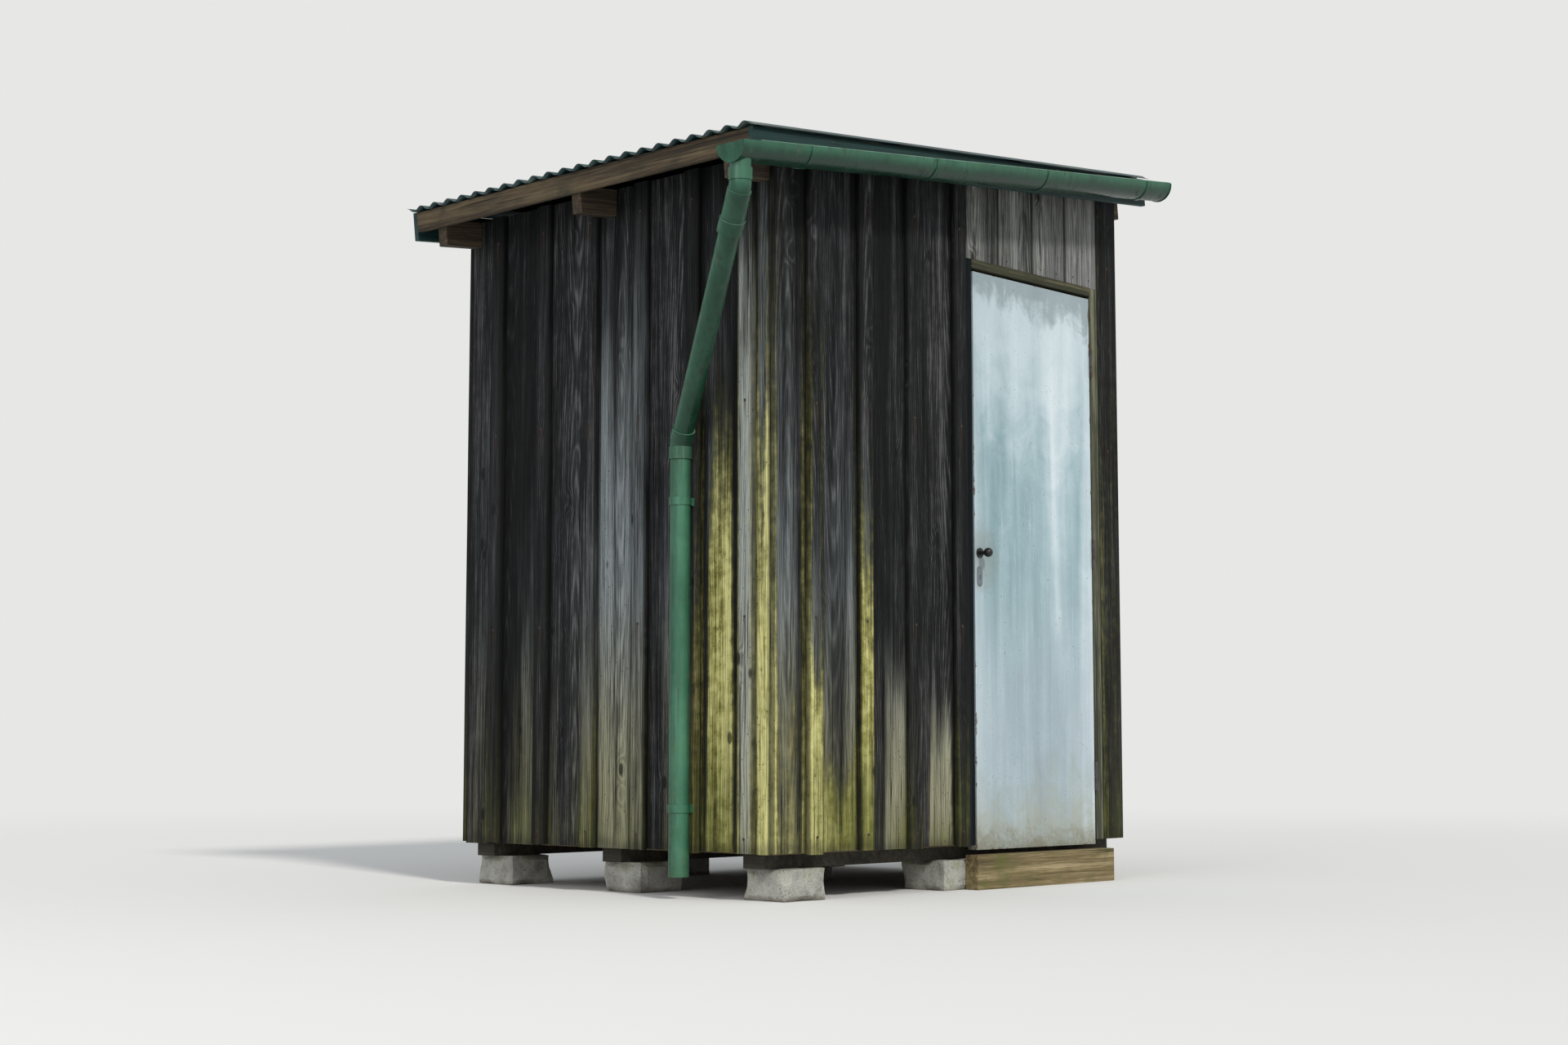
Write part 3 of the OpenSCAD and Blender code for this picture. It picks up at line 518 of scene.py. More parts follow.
def grow(name, tree, sizes, place):
    # runs a tree once, and keeps what it makes as a plain mesh, put in its place
    holder = add(name + "Holder", bpy.data.meshes.new(name + "Holder"))
    modifier = holder.modifiers.new("grow", "NODES")
    modifier.node_group = tree
    for item in tree.interface.items_tree:
        if item.in_out == "INPUT":
            modifier[item.identifier] = sizes[item.name]
    graph = bpy.context.evaluated_depsgraph_get()
    mesh = bpy.data.meshes.new_from_object(
        holder.evaluated_get(graph), preserve_all_data_layers=True, depsgraph=graph)
    bpy.data.objects.remove(holder)
    mesh.name = name
    mesh.transform(place)
    return add(name, mesh)


def seat(piece, slotName, *replaced, body="root"):
    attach(piece, body)
    if replaced:
        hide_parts(*replaced)


# A run of slats side by side: X goes across the run, Y into the wall, Z up the slats.
def slatTree():
    bench, size = startTree(
        "slatRun", "Count Rows Seed",
        "Start End First Pitch Width Thickness Foot Top Slope Round Bow Cup Ragged Uneven Lap")
    profile = bench.node("GeometryNodeCurvePrimitiveQuadrilateral", None, {
        "Width": size["Width"], "Height": size["Thickness"]})
    profile = bench.node("GeometryNodeFilletCurve", {"mode": "POLY"},
                         {"Curve": profile, "Count": 1, "Radius": size["Round"], "Limit Radius": True})
    profile = bench.node("GeometryNodeSubdivideCurve", None, {"Curve": profile, "Cuts": 2})
    rail = bench.node("GeometryNodeCurvePrimitiveLine", None, {"End": (0.0, 0.0, 1.0)})
    rail = bench.node("GeometryNodeResampleCurve", None, {"Curve": rail, "Count": size["Rows"]})
    slat = bench.node("GeometryNodeCurveToMesh", None, {
        "Curve": rail, "Profile Curve": profile, "Fill Caps": True})
    spots = bench.node("GeometryNodePoints", None, {"Count": size["Count"]})
    spots = bench.node("GeometryNodeStoreNamedAttribute", {"data_type": "INT"},
                       {"Geometry": spots, "Name": "number", "Value": bench.node("GeometryNodeInputIndex")})
    run = bench.node("GeometryNodeInstanceOnPoints", None, {"Points": spots, "Instance": slat})
    run = bench.node("GeometryNodeRealizeInstances", None, {0: run})
    number = bench.node("GeometryNodeInputNamedAttribute", {"data_type": "INT"}, {"Name": "number"})
    at = bench.node("GeometryNodeInputPosition")
    x, y, z = (at.part(axis) for axis in range(3))

    def chance(offset):
        # a number from 0 to 1, the same all over one slat
        return bench.node("FunctionNodeRandomValue", None, {"ID": number, "Seed": size["Seed"] + offset}, 1)

    left = size["First"] + number * size["Pitch"] + (chance(1) - 0.5) * size["Uneven"]
    right = (left + size["Width"] + (chance(2) - 0.5) * size["Uneven"]).least(size["End"])
    left = left.most(size["Start"])
    middle, half, plainHalf = (left + right) * 0.5, (right - left) * 0.5, size["Width"] * 0.5
    # the middle of the profile takes up a change of width, so its corners keep their shape
    share = (x / (plainHalf - size["Round"] * 1.5)).least(1.0).most(-1.0)
    across = middle + x + share * (half - plainHalf)
    side = (across - middle) / half
    drift = bench.vector(number * 3.7, 0.5, z * 1.6).cloud(1, 2) - 0.5
    warp = bench.vector(number * 5.3 + side * 0.3, 9.5, z * 2.2).cloud(1, 2) - 0.5
    bite = bench.vector(across * 38.0, number * 2.9, 4.0).cloud(1, 3) - 0.5
    foot = size["Foot"] + (chance(3) - 0.5) * size["Ragged"] + bite * size["Ragged"]
    top = size["Top"] + size["Slope"] * across
    moved = bench.vector(
        across + drift * size["Bow"],
        y + size["Thickness"] * 0.5 + warp * size["Bow"] * 0.6 - side * side * size["Cup"] * chance(4),
        foot + (top - foot) * z)
    # how far in from the arris, or from the batten that laps it
    fromLeft = (1 + side) * half - size["Lap"] * bench.work("GREATER_THAN", left, size["Start"] + 0.001)
    fromRight = (1 - side) * half - size["Lap"] * bench.work("LESS_THAN", right, size["End"] - 0.001)
    for key, value in {"slat": chance(5), "edge": fromLeft.least(fromRight), "over": side * half}.items():
        run = bench.node("GeometryNodeStoreNamedAttribute", None, {
            "Geometry": run, "Name": key, "Value": value})
    run = bench.node("GeometryNodeSetPosition", None, {"Geometry": run, "Position": moved})
    return closeTree(run, size["Finish"])


slatRun = slatTree()
slatPlain = {"Count": 1, "Rows": 40, "Start": -9.0, "End": 9.0, "First": 0.0, "Pitch": 0.1, "Foot": 0.0,
             "Slope": 0.0, "Round": 0.0015, "Bow": 0.002, "Cup": 0.0, "Ragged": 0.0, "Uneven": 0.0,
             "Lap": 0.0}


def slats(name, place, finish, weather=None, nailed=0.0, **sizes):
    # a run with its own sizes; weather has one row for each slat, and nails rust up to the height nailed
    piece = grow(name, slatRun, {**slatPlain, **sizes, "Finish": finish}, place)
    if weather:
        marks = piece.data.attributes
        numbers = [item.value for item in marks["number"].data]
        for column, key in enumerate((*weathering, "nailed")):
            levels = [(*weather[number], nailed)[column] for number in numbers]
            marks.new(key, "FLOAT", "POINT").data.foreach_set("value", levels)
    return piece


def facing(origin, across=(1, 0, 0), inward=(0, 1, 0)):
    # the frame of a run: X across, Y inward, Z up the slats
    across, inward = Vector(across), Vector(inward)
    up = across.cross(inward)
    return Matrix.Translation(origin) @ Matrix((across, inward, up)).transposed().to_4x4()


def anyWeather(count, seed):
    # for the sides that the photo hides
    draws = random.Random(seed)
    limits = ((0, 0.45), (0.35, 0.9), (0, 0.6), (0.7, 2.1), (-0.06, 0.06), (0.05, 0.25))
    return [[draws.uniform(*pair) for pair in limits] for slat in range(count)]


# Battens cover the joints; the first joint is this far from the front left corner, on the front and a side.
cladding = {"frontJoint": 0.175, "sideJoint": 0.11, "pitch": 0.243, "gap": 0.004, "batten": 0.065,
            "lap": 0.033}
boardT = frontHi.y - frontLo.y
lowTop = frontHi.z - (frontHi.x - frontLo.x) * fall
wallWidth = backHi.x - backLo.x
sideLength = leftHi.y - leftLo.y
sideShift = leftLo.y - frontLo.y      # the side walls start behind the front wall's boards
lastSideJoint = cladding["pitch"] * 5 + cladding["sideJoint"]
fourRows = ((nailing["first"], 4),)      # of nails: the lowest row's height, and how many rows
walls = {
    "front": {
        "place": facing((frontLo.x, frontLo.y, 0)), "length": frontHi.x - frontLo.x,
        "first": cladding["frontJoint"], "top": lowTop, "slope": fall, "nails": fourRows,
        "boards": ((0.2, 0.8, 0.24, 2.1, -0.045, 0.06), (0.95, 0.5, 0.3, 1.5, 0, 0.5),
                   (0.35, 0.4, 0.8, 0.75, 0.045, 0.054), (0.5, 0.3, 0.7, 0.65, 0.025, 0.056),
                   (0.2, 0.5, 0, 1, 0, 0.5)),
        "battens": ((1.2, 0.66, 0.4, 1.2, 0, 0.5), (1.0, 1.3, 0.4, 1.5, 0.002, 0.03),
                    (0.2, 0.4, 0.1, 0.8, 0, 0.5), (0.3, 0.6, 0, 1, 0, 0.5))},
    "left": {      # its run starts at the back
        "place": facing((leftLo.x, leftHi.y, 0), (0, -1, 0), (1, 0, 0)), "length": sideLength,
        "first": sideLength + sideShift - lastSideJoint, "top": lowTop, "slope": 0.0, "nails": fourRows,
        "boards": ((0.1, 0.5, 0.1, 1.5, 0, 0.5), (0.3, 0.8, 0.3, 1.2, 0.03, 0.08),
                   (0.1, 0.5, 0.1, 1.6, 0, 0.5), (0.25, 0.7, 0.85, 1.9, -0.02, 0.08),
                   (0.2, 0.6, 0.2, 1.2, 0.04, 0.07), (1.15, 1.5, 0.3, 2.0, 0, 0.052),
                   (1.3, 1.4, 0.5, 2.2, 0, 0.5)),
        "battens": ((0.2, 0.6, 0.1, 1.5, 0, 0.5), (0.1, 0.5, 0.1, 1.4, 0, 0.5), (0.3, 0.7, 0.2, 1.6, 0, 0.5),
                    (0.1, 0.5, 0.5, 1.9, 0, 0.5), (0.3, 0.9, 0.15, 1.5, 0, 0.5),
                    (0.1, 0.4, 2.4, 1.95, 0, 0.5))},
    "right": {      # its top row of nails goes into the top plate
        "place": facing((rightHi.x, rightLo.y, 0), (0, 1, 0), (-1, 0, 0)), "length": sideLength,
        "first": cladding["sideJoint"] - sideShift, "top": backHi.z, "slope": 0.0,
        "nails": ((nailing["first"], 3), (2.42, 1)), "boards": anyWeather(7, 5), "battens": anyWeather(6, 6)},
    "back": {
        "place": facing((backHi.x, backHi.y, 0), (-1, 0, 0), (0, -1, 0)), "length": wallWidth,
        "first": wallWidth - cladding["frontJoint"] - 6 * cladding["pitch"], "top": backHi.z, "slope": -fall,
        "nails": fourRows, "boards": anyWeather(8, 7), "battens": anyWeather(7, 8)},
}
battenShy = 0.001      # how far below the boards' tops the battens end
for number, (side, wall) in enumerate(walls.items()):
    lo, hi = box(side + "_battens")
    battenT = min(hi.x - lo.x, hi.y - lo.y)
    wall["battenPlace"] = wall["place"] @ Matrix.Translation((0, -battenT, 0))
    pitch, gap, width = cladding["pitch"], cladding["gap"], cladding["batten"]
    run = {"Pitch": pitch, "Foot": frontLo.z, "Slope": wall["slope"], "Ragged": 0.009}
    boards = slats(side + "Boards", wall["place"], darkBoards, wall["boards"], **run,
                   Count=len(wall["boards"]), Start=0.0, End=wall["length"],
                   First=wall["first"] - pitch + gap / 2, Width=pitch - gap, Thickness=boardT,
                   Top=wall["top"], Seed=11 + 10 * number, Bow=0.003, Cup=0.0012, Lap=cladding["lap"])
    seat(boards, "dark_boards", side + "_wall")
    foot, rows = wall["nails"][0]
    battens = slats(side + "Battens", wall["battenPlace"], darkBoards, wall["battens"],
                    foot + nailing["rise"] * (rows - 1), **run, Count=len(wall["battens"]),
                    First=wall["first"] - width / 2, Width=width, Thickness=battenT,
                    Top=wall["top"] - battenShy, Seed=12 + 10 * number, Bow=0.004, Uneven=0.003, Round=0.002)
    seat(battens, "dark_boards", side + "_battens")
print("walls boarded")

# the board at the right-hand corner, and the short boards over the door
cornerLo, cornerHi = box("front_corner_board")
cornerPlace = facing((cornerLo.x, cornerLo.y, 0))
cornerWidth = cornerHi.x - cornerLo.x
seat(slats("cornerBoard", cornerPlace, darkBoards, ((0.22, 2.6, 0.0, 1.0, 0.0, 0.5),),
           nailing["first"] + nailing["rise"] * 3, Width=cornerWidth, Thickness=boardT, Foot=frontLo.z,
           Top=cornerHi.z - cornerWidth * fall, Slope=fall, Seed=58, Ragged=0.006, Bow=0.001),
     "dark_boards", "front_corner_board")


def shared(run, count, gap=0.003):
    # boards that share out a run, with a narrow gap after each
    pitch = run / count
    return {"Count": count, "Start": 0.0, "End": run, "First": 0.001, "Pitch": pitch, "Width": pitch - gap}


overLo, overHi = box("over_door_wall")
overPlace = facing((overLo.x, overLo.y, 0))
overWidth = overHi.x - overLo.x
overWeather = ((0.1, 3.0, 0.3, 3.0, 0.0, 0.5), (0.0, 3.0, 0.6, 3.0, 0.0, 0.5))
seat(slats("overDoorBoards", overPlace, greyBoards, overWeather * 2, **shared(overWidth, 4), Rows=12,
           Thickness=boardT, Foot=overLo.z, Top=overHi.z - overWidth * fall, Slope=fall, Seed=52, Cup=0.001,
           Ragged=0.002, Bow=0.001), "grey_boards", "over_door_wall")

# deck boards from the left wall to the right one, and a narrow one at each side of the doorway
deck = {"boards": 10, "doorEdge": 0.026, "endWidth": 0.0255, "endGap": 0.0005}
deckLo, deckHi = box("floor_deck")
deckT = deckHi.z - deckLo.z
deckRun = deckHi.y - deckLo.y - deck["doorEdge"]
deckPlace = facing((deckLo.x, deckLo.y + deck["doorEdge"], deckLo.z), (0, 1, 0), (0, 0, 1))
seat(slats("deckBoards", deckPlace, floorTimber, **shared(deckRun, deck["boards"]), Thickness=deckT,
           Top=deckHi.x - deckLo.x, Seed=61, Bow=0.001, Cup=0.0008, Rows=20), "floor_boards", "floor_deck")
leftJambX, rightJambX = box("left_jamb")[1].x, box("right_jamb")[0].x      # their faces in the doorway
for name, x0, x1, seed in (("deckEndLeft", deckLo.x, leftJambX - deck["endGap"], 62),
                           ("deckEndRight", rightJambX - deck["endGap"], deckHi.x, 63)):
    seat(slats(name, facing((x0, deckLo.y, deckLo.z), (0, 1, 0), (0, 0, 1)), floorTimber,
               Width=deck["endWidth"], Thickness=deckT, Top=x1 - x0, Seed=seed, Bow=0.0, Rows=8),
         "floor_boards")
print("door boards and deck laid")

# roof timbers: a single plank each
bargeH, eaveH, edgeT = 0.1, 0.07, 0.02
for name, node, inward, seed in (("frontBarge", "front_barge", 1, 71), ("backBarge", "back_barge", -1, 72)):
    lo, hi = box(node)
    footX = lo.x + bargeH * sin(roofPitch)
    length = (hi.x - footX) / cos(roofPitch)
    start = Vector((footX, lo.y if inward > 0 else hi.y, lo.z)) + offSlope * bargeH
    if inward < 0:
        start = start + upSlope * length
    seat(slats(name, facing(start, -offSlope, (0, inward, 0)), bargePaint, Width=bargeH, Thickness=edgeT,
               Top=length, Seed=seed, Bow=0.0015), "green_paint", node)
for name, node, inward, seed in (
        ("lowEave", "low_eave_board", 1, 73), ("highEave", "high_eave_board", -1, 74)):
    lo, hi = box(node)
    start = Vector((lo.x + eaveH * sin(roofPitch), lo.y if inward > 0 else hi.y, lo.z))
    if inward < 0:
        start = start + upSlope * edgeT
    seat(slats(name, facing(start, offSlope, upSlope * inward), brownEaves, Width=eaveH, Thickness=edgeT,
               Top=hi.y - lo.y, Seed=seed), "brown_timber", node)
print("roof timbers made")


# Corrugated sheets: a wave across, small dents, and a thin sheet's thickness.
def sheetTree():
    bench, size = startTree("corrugatedSheet", "Steps", "Length Breadth Wave Height Dent Seed")
    grid = bench.node("GeometryNodeMeshGrid", None, {"Size X": size["Length"], "Size Y": size["Breadth"],
                                                     "Vertices X": 60, "Vertices Y": size["Steps"]})
    at = bench.node("GeometryNodeInputPosition")
    along = at.part(0) + size["Length"] * 0.5
    across = at.part(1) + size["Breadth"] * 0.5
    crest = (1 - (across / size["Wave"] * (2 * pi)).single("COSINE")) * size["Height"] * 0.5
    dents = bench.vector(along * 2.2, across * 5.0, size["Seed"]).cloud(1, 3)
    curl = (along.rise(0.12, 0.0) + (size["Length"] - along).rise(0.12, 0.0)) * 0.5
    moved = bench.vector(along, across, crest + (dents - 0.8) * size["Dent"] * (1 + curl))
    sheet = bench.node("GeometryNodeSetPosition", None, {"Geometry": grid, "Position": moved})
    sheet = bench.node("GeometryNodeSetShadeSmooth", None, {0: sheet, "Shade Smooth": True})
    return closeTree(sheet, size["Finish"])


def sheetCorner(lo):
    # the low front corner of a sheet, on its underside
    return Vector((lo.x + (waveHeight + sheetT) * sin(roofPitch), lo.y, lo.z))


corrugated = sheetTree()
sheetShy = 0.0005      # how far short of its box a sheet's high end stops
for seed, part in enumerate(("Front", "Middle", "Back"), 1):
    node = "roof_sheet_" + part.lower()
    lo, hi = box(node)
    corner = sheetCorner(lo)
    sheet = grow("sheet" + part, corrugated, {
        "Length": (hi.x - corner.x) / cos(roofPitch) - sheetShy, "Breadth": hi.y - lo.y, "Wave": waveLength,
        "Height": waveHeight, "Dent": 0.0006, "Seed": float(seed), "Steps": 137, "Finish": roofIron},
        facing(corner, upSlope))
    solid = sheet.modifiers.new("thickness", "SOLIDIFY")
    solid.thickness = sheetT
    solid.offset = 1.0
    seat(sheet, "roof_iron", node)
print("roof sheets made")


# Heads of nails and screws on a grid: X across, Y into the surface, Z up.
def headTree(name, kind):
    bench, size = startTree(name, "Count Rows Seed", "First Pitch Foot Rise Radius Stray")
    radius = size["Radius"]

    def disc(corners, width, depth):
        return bench.node("GeometryNodeMeshCylinder", None, {
            "Vertices": corners, "Radius": radius * width, "Depth": radius * depth}, "Mesh")

    spots = bench.node("GeometryNodePoints", None, {"Count": size["Count"] * size["Rows"]})
    index = bench.node("GeometryNodeInputIndex")
    row = ((index + 0.01) / size["Count"]).single("FLOOR")
    column = index - row * size["Count"]
    stray = bench.node("FunctionNodeRandomValue", {"data_type": "FLOAT_VECTOR"}, {
        0: (-1.0, 0.0, -1.0), 1: (1.0, 0.0, 1.0), "ID": index, "Seed": size["Seed"]}) * size["Stray"]
    at = bench.vector(size["First"] + column * size["Pitch"], 0.0, size["Foot"] + row * size["Rise"]) + stray
    spots = bench.node("GeometryNodeSetPosition", None, {"Geometry": spots, "Position": at})
    if kind == "hexagon":
        head = bench.node("GeometryNodeJoinGeometry", None, {0: [disc(16, 1.5, 0.35), disc(6, 1.0, 1.6)]})
    elif kind == "slotted":
        slot = bench.node("GeometryNodeMeshCube", None, {
            "Size": bench.vector(radius * 2.4, radius * 0.24, radius * 0.2)}, "Mesh")
        slot = bench.node("GeometryNodeTransform", None, {
            "Geometry": slot, "Translation": bench.vector(0.0, 0.0, radius * 0.15)})
        head = bench.node("GeometryNodeMeshBoolean", {"operation": "DIFFERENCE"},
                          {"Mesh 1": disc(16, 1.0, 0.3), "Mesh 2": slot}, "Mesh")
    else:
        head = bench.node("GeometryNodeMeshUVSphere", None, {
            "Segments": 10, "Rings": 5, "Radius": radius}, "Mesh")
        head = bench.node("GeometryNodeTransform", None, {"Geometry": head, "Scale": (1.0, 1.0, 0.35)})
    turn = bench.node("FunctionNodeRandomValue", None, {3: 3.0, "ID": index, "Seed": size["Seed"] + 5}, 1)
    heads = bench.node("GeometryNodeInstanceOnPoints", None, {
        "Points": spots, "Instance": head, "Rotation": bench.vector(pi / 2, turn, 0.0)})
    return closeTree(heads, size["Finish"])


nailHeads = headTree("nailHeads", "domed")
screwHeads = headTree("screwHeads", "hexagon")
slotHeads = headTree("slotHeads", "slotted")
headPlain = {"Count": 1, "Rows": 1, "First": 0.0, "Pitch": 0.0, "Foot": 0.0, "Rise": 0.0, "Radius": 0.004,
             "Stray": 0.003, "Finish": nailSteel}


def drive(name, heads, place, slotName="hinge_steel", body="root", **sizes):
    seat(grow(name, heads, {**headPlain, **sizes}, place), slotName, body=body)


for number, (side, wall) in enumerate(walls.items()):
    for group, (foot, rows) in enumerate(wall["nails"]):
        drive(f"{side}Nails{group}", nailHeads, wall["battenPlace"], Count=len(wall["battens"]), Rows=rows,
              First=wall["first"], Pitch=cladding["pitch"], Foot=foot, Rise=nailing["rise"],
              Radius=nailing["radius"], Seed=1 + 4 * number + group)
drive("cornerNails", nailHeads, cornerPlace, Rows=4, First=cornerWidth / 2, Foot=nailing["first"],
      Rise=nailing["rise"], Radius=nailing["radius"], Seed=17)
drive("overDoorNails", nailHeads, overPlace, Count=8, First=overWidth / 16, Pitch=overWidth / 8,
      Foot=overLo.z + 0.024, Seed=18)
# two nails through each deck board into each bearer
bearers = {"inset": 0.086, "pitch": 0.82, "count": 3}
bearerX = box("bearers")[1].x - bearers["inset"]
nailPitch = deckRun / deck["boards"] / 2
drive("deckNails", nailHeads, facing((bearerX, deckLo.y + deck["doorEdge"], deckHi.z), (0, 1, 0), (0, 0, -1)),
      Count=deck["boards"] * 2, Rows=bearers["count"], First=nailPitch / 2, Pitch=nailPitch,
      Rise=bearers["pitch"], Seed=19)
print("nails driven")

# slotted screws in the leaves of the hinges and in the key plate
screwPlain = {"Stray": 0.0004, "Finish": screwSteel}
hinge = {"feet": (0.32, 1.12, 1.82), "leafT": 0.0016, "middle": 0.018, "first": 0.016, "rise": 0.034,
         "screw": 0.0036}
slabLo, slabHi = box("door_slab")
for number, foot in enumerate(hinge["feet"]):
    y, z = slabLo.y + hinge["middle"], foot + hinge["first"]
    sizes = {**screwPlain, "Rows": 3, "Rise": hinge["rise"], "Radius": hinge["screw"]}
    doorLeaf = facing((slabHi.x + hinge["leafT"], y, z), (0, 1, 0), (-1, 0, 0))
    jambLeaf = facing((rightJambX - hinge["leafT"], y, z), (0, -1, 0), (1, 0, 0))
    drive(f"doorLeafScrews{number}", slotHeads, doorLeaf, body="door", **sizes, Seed=21 + number)
    drive(f"jambLeafScrews{number}", slotHeads, jambLeaf, **sizes, Seed=25 + number)
plate = {"edge": 0.007, "screw": 0.0026}
lo, hi = box("key_plate")
drive("keyPlateScrews", slotHeads, facing(((lo.x + hi.x) / 2, lo.y, lo.z + plate["edge"])), body="door",
      **screwPlain, Rows=2, Rise=hi.z - lo.z - 2 * plate["edge"], Radius=plate["screw"], Seed=29)
print("screws set")

# roof screws stand on every other crest, over the four purlins; their Z runs down the slope
roofScrew = {"proud": 0.0018, "inLow": 0.04, "inHigh": 0.035, "radius": 0.0052, "stray": 0.0008, "purlins": 4}
lo, hi = box("purlins")
corner = sheetCorner(roofLo)
lowPurlin = (lo.x - corner.x) / cos(roofPitch) + roofScrew["inLow"]
highPurlin = (hi.x - corner.x) / cos(roofPitch) - roofScrew["inHigh"]
screwPlace = facing(corner + offSlope * (waveHeight + sheetT + roofScrew["proud"]), (0, 1, 0), -offSlope)
drive("roofScrews", screwHeads, screwPlace, "roof_iron", Count=11, Rows=roofScrew["purlins"],
      First=waveLength * 1.5, Pitch=waveLength * 2, Foot=-highPurlin,
      Rise=(highPurlin - lowPurlin) / (roofScrew["purlins"] - 1), Radius=roofScrew["radius"],
      Stray=roofScrew["stray"], Seed=3)
print("roof screwed down")

# Pads: rough blocks with broken arrises, each made in code inside its own box.
padLook = {"side": 0.19, "cuts": 11, "arris": 0.16, "chips": 0.02, "pits": 0.0014}


def castPad(lo, hi, number):
    pad = bmesh.new()
    bmesh.ops.create_cube(pad, size=1.0)
    bmesh.ops.subdivide_edges(pad, edges=pad.edges, cuts=padLook["cuts"], use_grid_fill=True)
    middle = (lo + hi) / 2
    for vert in pad.verts:
        part = vert.co + Vector((0.5, 0.5, 0.5))
        spot = Vector([lo[axis] + part[axis] * (hi[axis] - lo[axis]) for axis in range(3)])
        # how near two faces meet here: 0 in the middle of a face, 1 at an edge
        near = sorted(min(share, 1 - share) for share in part)
        rim = max(0.0, 1 - near[1] / padLook["arris"])
        broken = max(0.0, 0.45 + noise.noise(spot * 11 + Vector((number * 3.1, 0, 0))))
        inward = middle - spot
        inward.z *= 0.4
        bite = rim * broken * padLook["chips"] + abs(noise.noise(spot * 45)) * padLook["pits"]
        vert.co = spot + inward.normalized() * bite
    return pad


def castPads():
    lo, hi = box("foundation_blocks")
    side = padLook["side"]
    whole, data = bmesh.new(), bpy.data.meshes.new("pads")
    for number in range(9):
        column, row = divmod(number, 3)
        corner = Vector((lo.x + (hi.x - lo.x - side) / 2 * column, lo.y + (hi.y - lo.y - side) / 2 * row,
                         lo.z))
        pad = castPad(corner, corner + Vector((side, side, hi.z - lo.z)), number)
        pad.to_mesh(data)
        pad.free()
        whole.from_mesh(data)
    whole.to_mesh(data)
    whole.free()
    data.materials.append(padConcrete)
    return add("pads", data)


seat(castPads(), "concrete", "foundation_blocks")
print("pads cast")

# The nodes that keep their own mesh get a finish, and the timbers softened arrises.
for finish, soften, *nodes in (
        (bearerTimber, 0.002, "bearers"), (sillTimber, 0.004, "door_sill"),
        (frameTimber[2], 0.002, "corner_posts"),
        (frameTimber[1], 0.002, "left_rails", "right_rails", "purlins"),
        (frameTimber[0], 0.002, "back_rails", "front_rails"), (roofTimber, 0.002, "rafters"),
        (jambPaintedShade, 0.002, "left_jamb"), (jambGrey, 0.002, "right_jamb"), (brownHead, 0.002, "door_head"),
        (jambGrey, 0.0015, "door_stops"), (doorFinish(slabLo, slabHi), 0.0015, "door_slab"),
        (greenPlastic, 0, "gutter", "gutter_stop_end", "gutter_brackets", "gutter_outlet", "top_bend",
         "downpipe_upper", "knee_bend", "downpipe_lower", "pipe_brackets"),
        (hingeSteel, 0, "hinge_jamb_leaves", "hinge_door_leaves", "hinge_pins"),
        (knobBlack, 0, "knob_roses", "knob"), (keyPlateSteel, 0, "key_plate")):
    for node in nodes:
        piece = cadNodes[node]
        piece.material_slots[0].material = finish
        if soften:
            weld = piece.modifiers.new("weld", "WELD")
            weld.merge_threshold = 0.00002
            bevel = piece.modifiers.new("soften", "BEVEL")
            bevel.width = soften
            bevel.segments = 2
            bevel.limit_method = "ANGLE"
            bevel.angle_limit = radians(40)
print("nodes dressed")

# Floor, light and camera. The floor melts into the backdrop further out.
studio = {"floor": (0.76, 0.755, 0.74, 1), "backdrop": (0.8, 0.8, 0.79, 1), "fill": (0.93, 0.97, 1.0, 1),
          "fillLevel": 0.62, "radius": 40, "fadeFrom": 4.0, "fadeTo": 11.0}


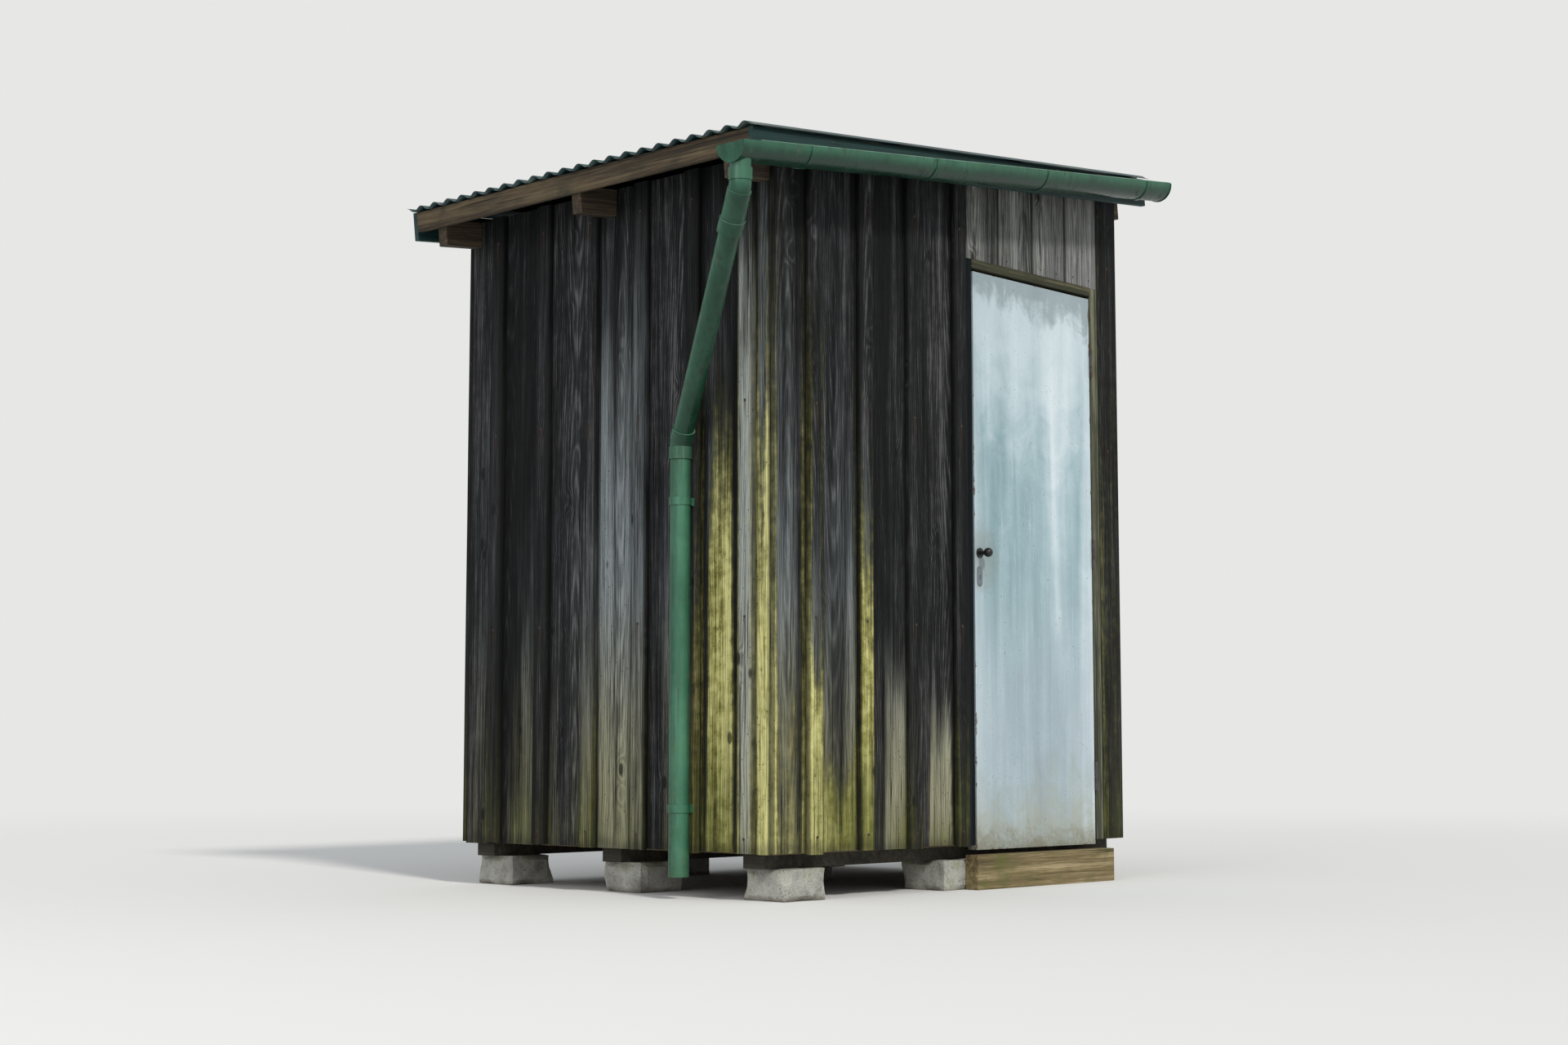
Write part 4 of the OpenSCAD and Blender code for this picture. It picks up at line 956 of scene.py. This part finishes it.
def stageFinish():
    finish, spot = startFinish("studioFloor")
    reach = spot.node("ShaderNodeVectorMath", {"operation": "LENGTH"}, {0: spot}, "Value")
    near = spot.node("ShaderNodeBsdfDiffuse", None, {"Color": studio["floor"]})
    far = spot.node("ShaderNodeEmission", None, {"Color": studio["backdrop"]})
    faded = reach.rise(studio["fadeFrom"], studio["fadeTo"])
    shader = spot.node("ShaderNodeMixShader", None, {0: faded, 1: near, 2: far})
    spot.node("ShaderNodeOutputMaterial", None, {"Surface": shader})
    return finish


floorMesh = bmesh.new()
bmesh.ops.create_circle(floorMesh, cap_ends=True, segments=96, radius=studio["radius"])
floorData = bpy.data.meshes.new("studioFloor")
floorMesh.to_mesh(floorData)
floorMesh.free()
floorData.materials.append(stageFinish())
add("studioFloor", floorData)

world = bpy.data.worlds.new("studio")
world.use_nodes = True
world.node_tree.nodes.clear()
sky = Wire(world.node_tree)
camera, glossy, through = (sky.node("ShaderNodeLightPath", out=f"Is {kind} Ray")
                           for kind in ("Camera", "Glossy", "Transmission"))
fill = sky.node("ShaderNodeBackground", None, {"Color": studio["fill"], "Strength": studio["fillLevel"]})
backdrop = sky.node("ShaderNodeBackground", None, {"Color": studio["backdrop"]})
shader = sky.node("ShaderNodeMixShader", None, {0: camera.most(glossy).most(through), 1: fill, 2: backdrop})
sky.node("ShaderNodeOutputWorld", None, {"Surface": shader})

# where the lamps and the camera stand, what they look at, and their settings
standing = {
    "sun": ((-1.1, -3.4, 3.0), (0, 0, 0), {"energy": 1.9, "angle": radians(8), "color": (1.0, 0.97, 0.92)}),
    "soft": ((-10.0, -2.0, 5.2), (0, 0, 1.2), {"energy": 210.0, "size": 5.0}),
    "camera": ((-5.843, -5.489, 0.475), (0, 0, 1.27), {"lens": 52.0})}


def aim(name, data):
    origin, at, settings = standing[name]
    for key, value in settings.items():
        setattr(data, key, value)
    thing = add(name, data)
    thing.location = origin
    thing.rotation_mode = "QUATERNION"
    thing.rotation_quaternion = (Vector(origin) - Vector(at)).to_track_quat("Z", "Y")
    return thing


aim("sun", bpy.data.lights.new("sun", "SUN"))
aim("soft", bpy.data.lights.new("soft", "AREA"))
scene = bpy.context.scene
scene.world = world
scene.camera = aim("camera", bpy.data.cameras.new("camera"))
scene.view_settings.view_transform = "Standard"
print("stage set")
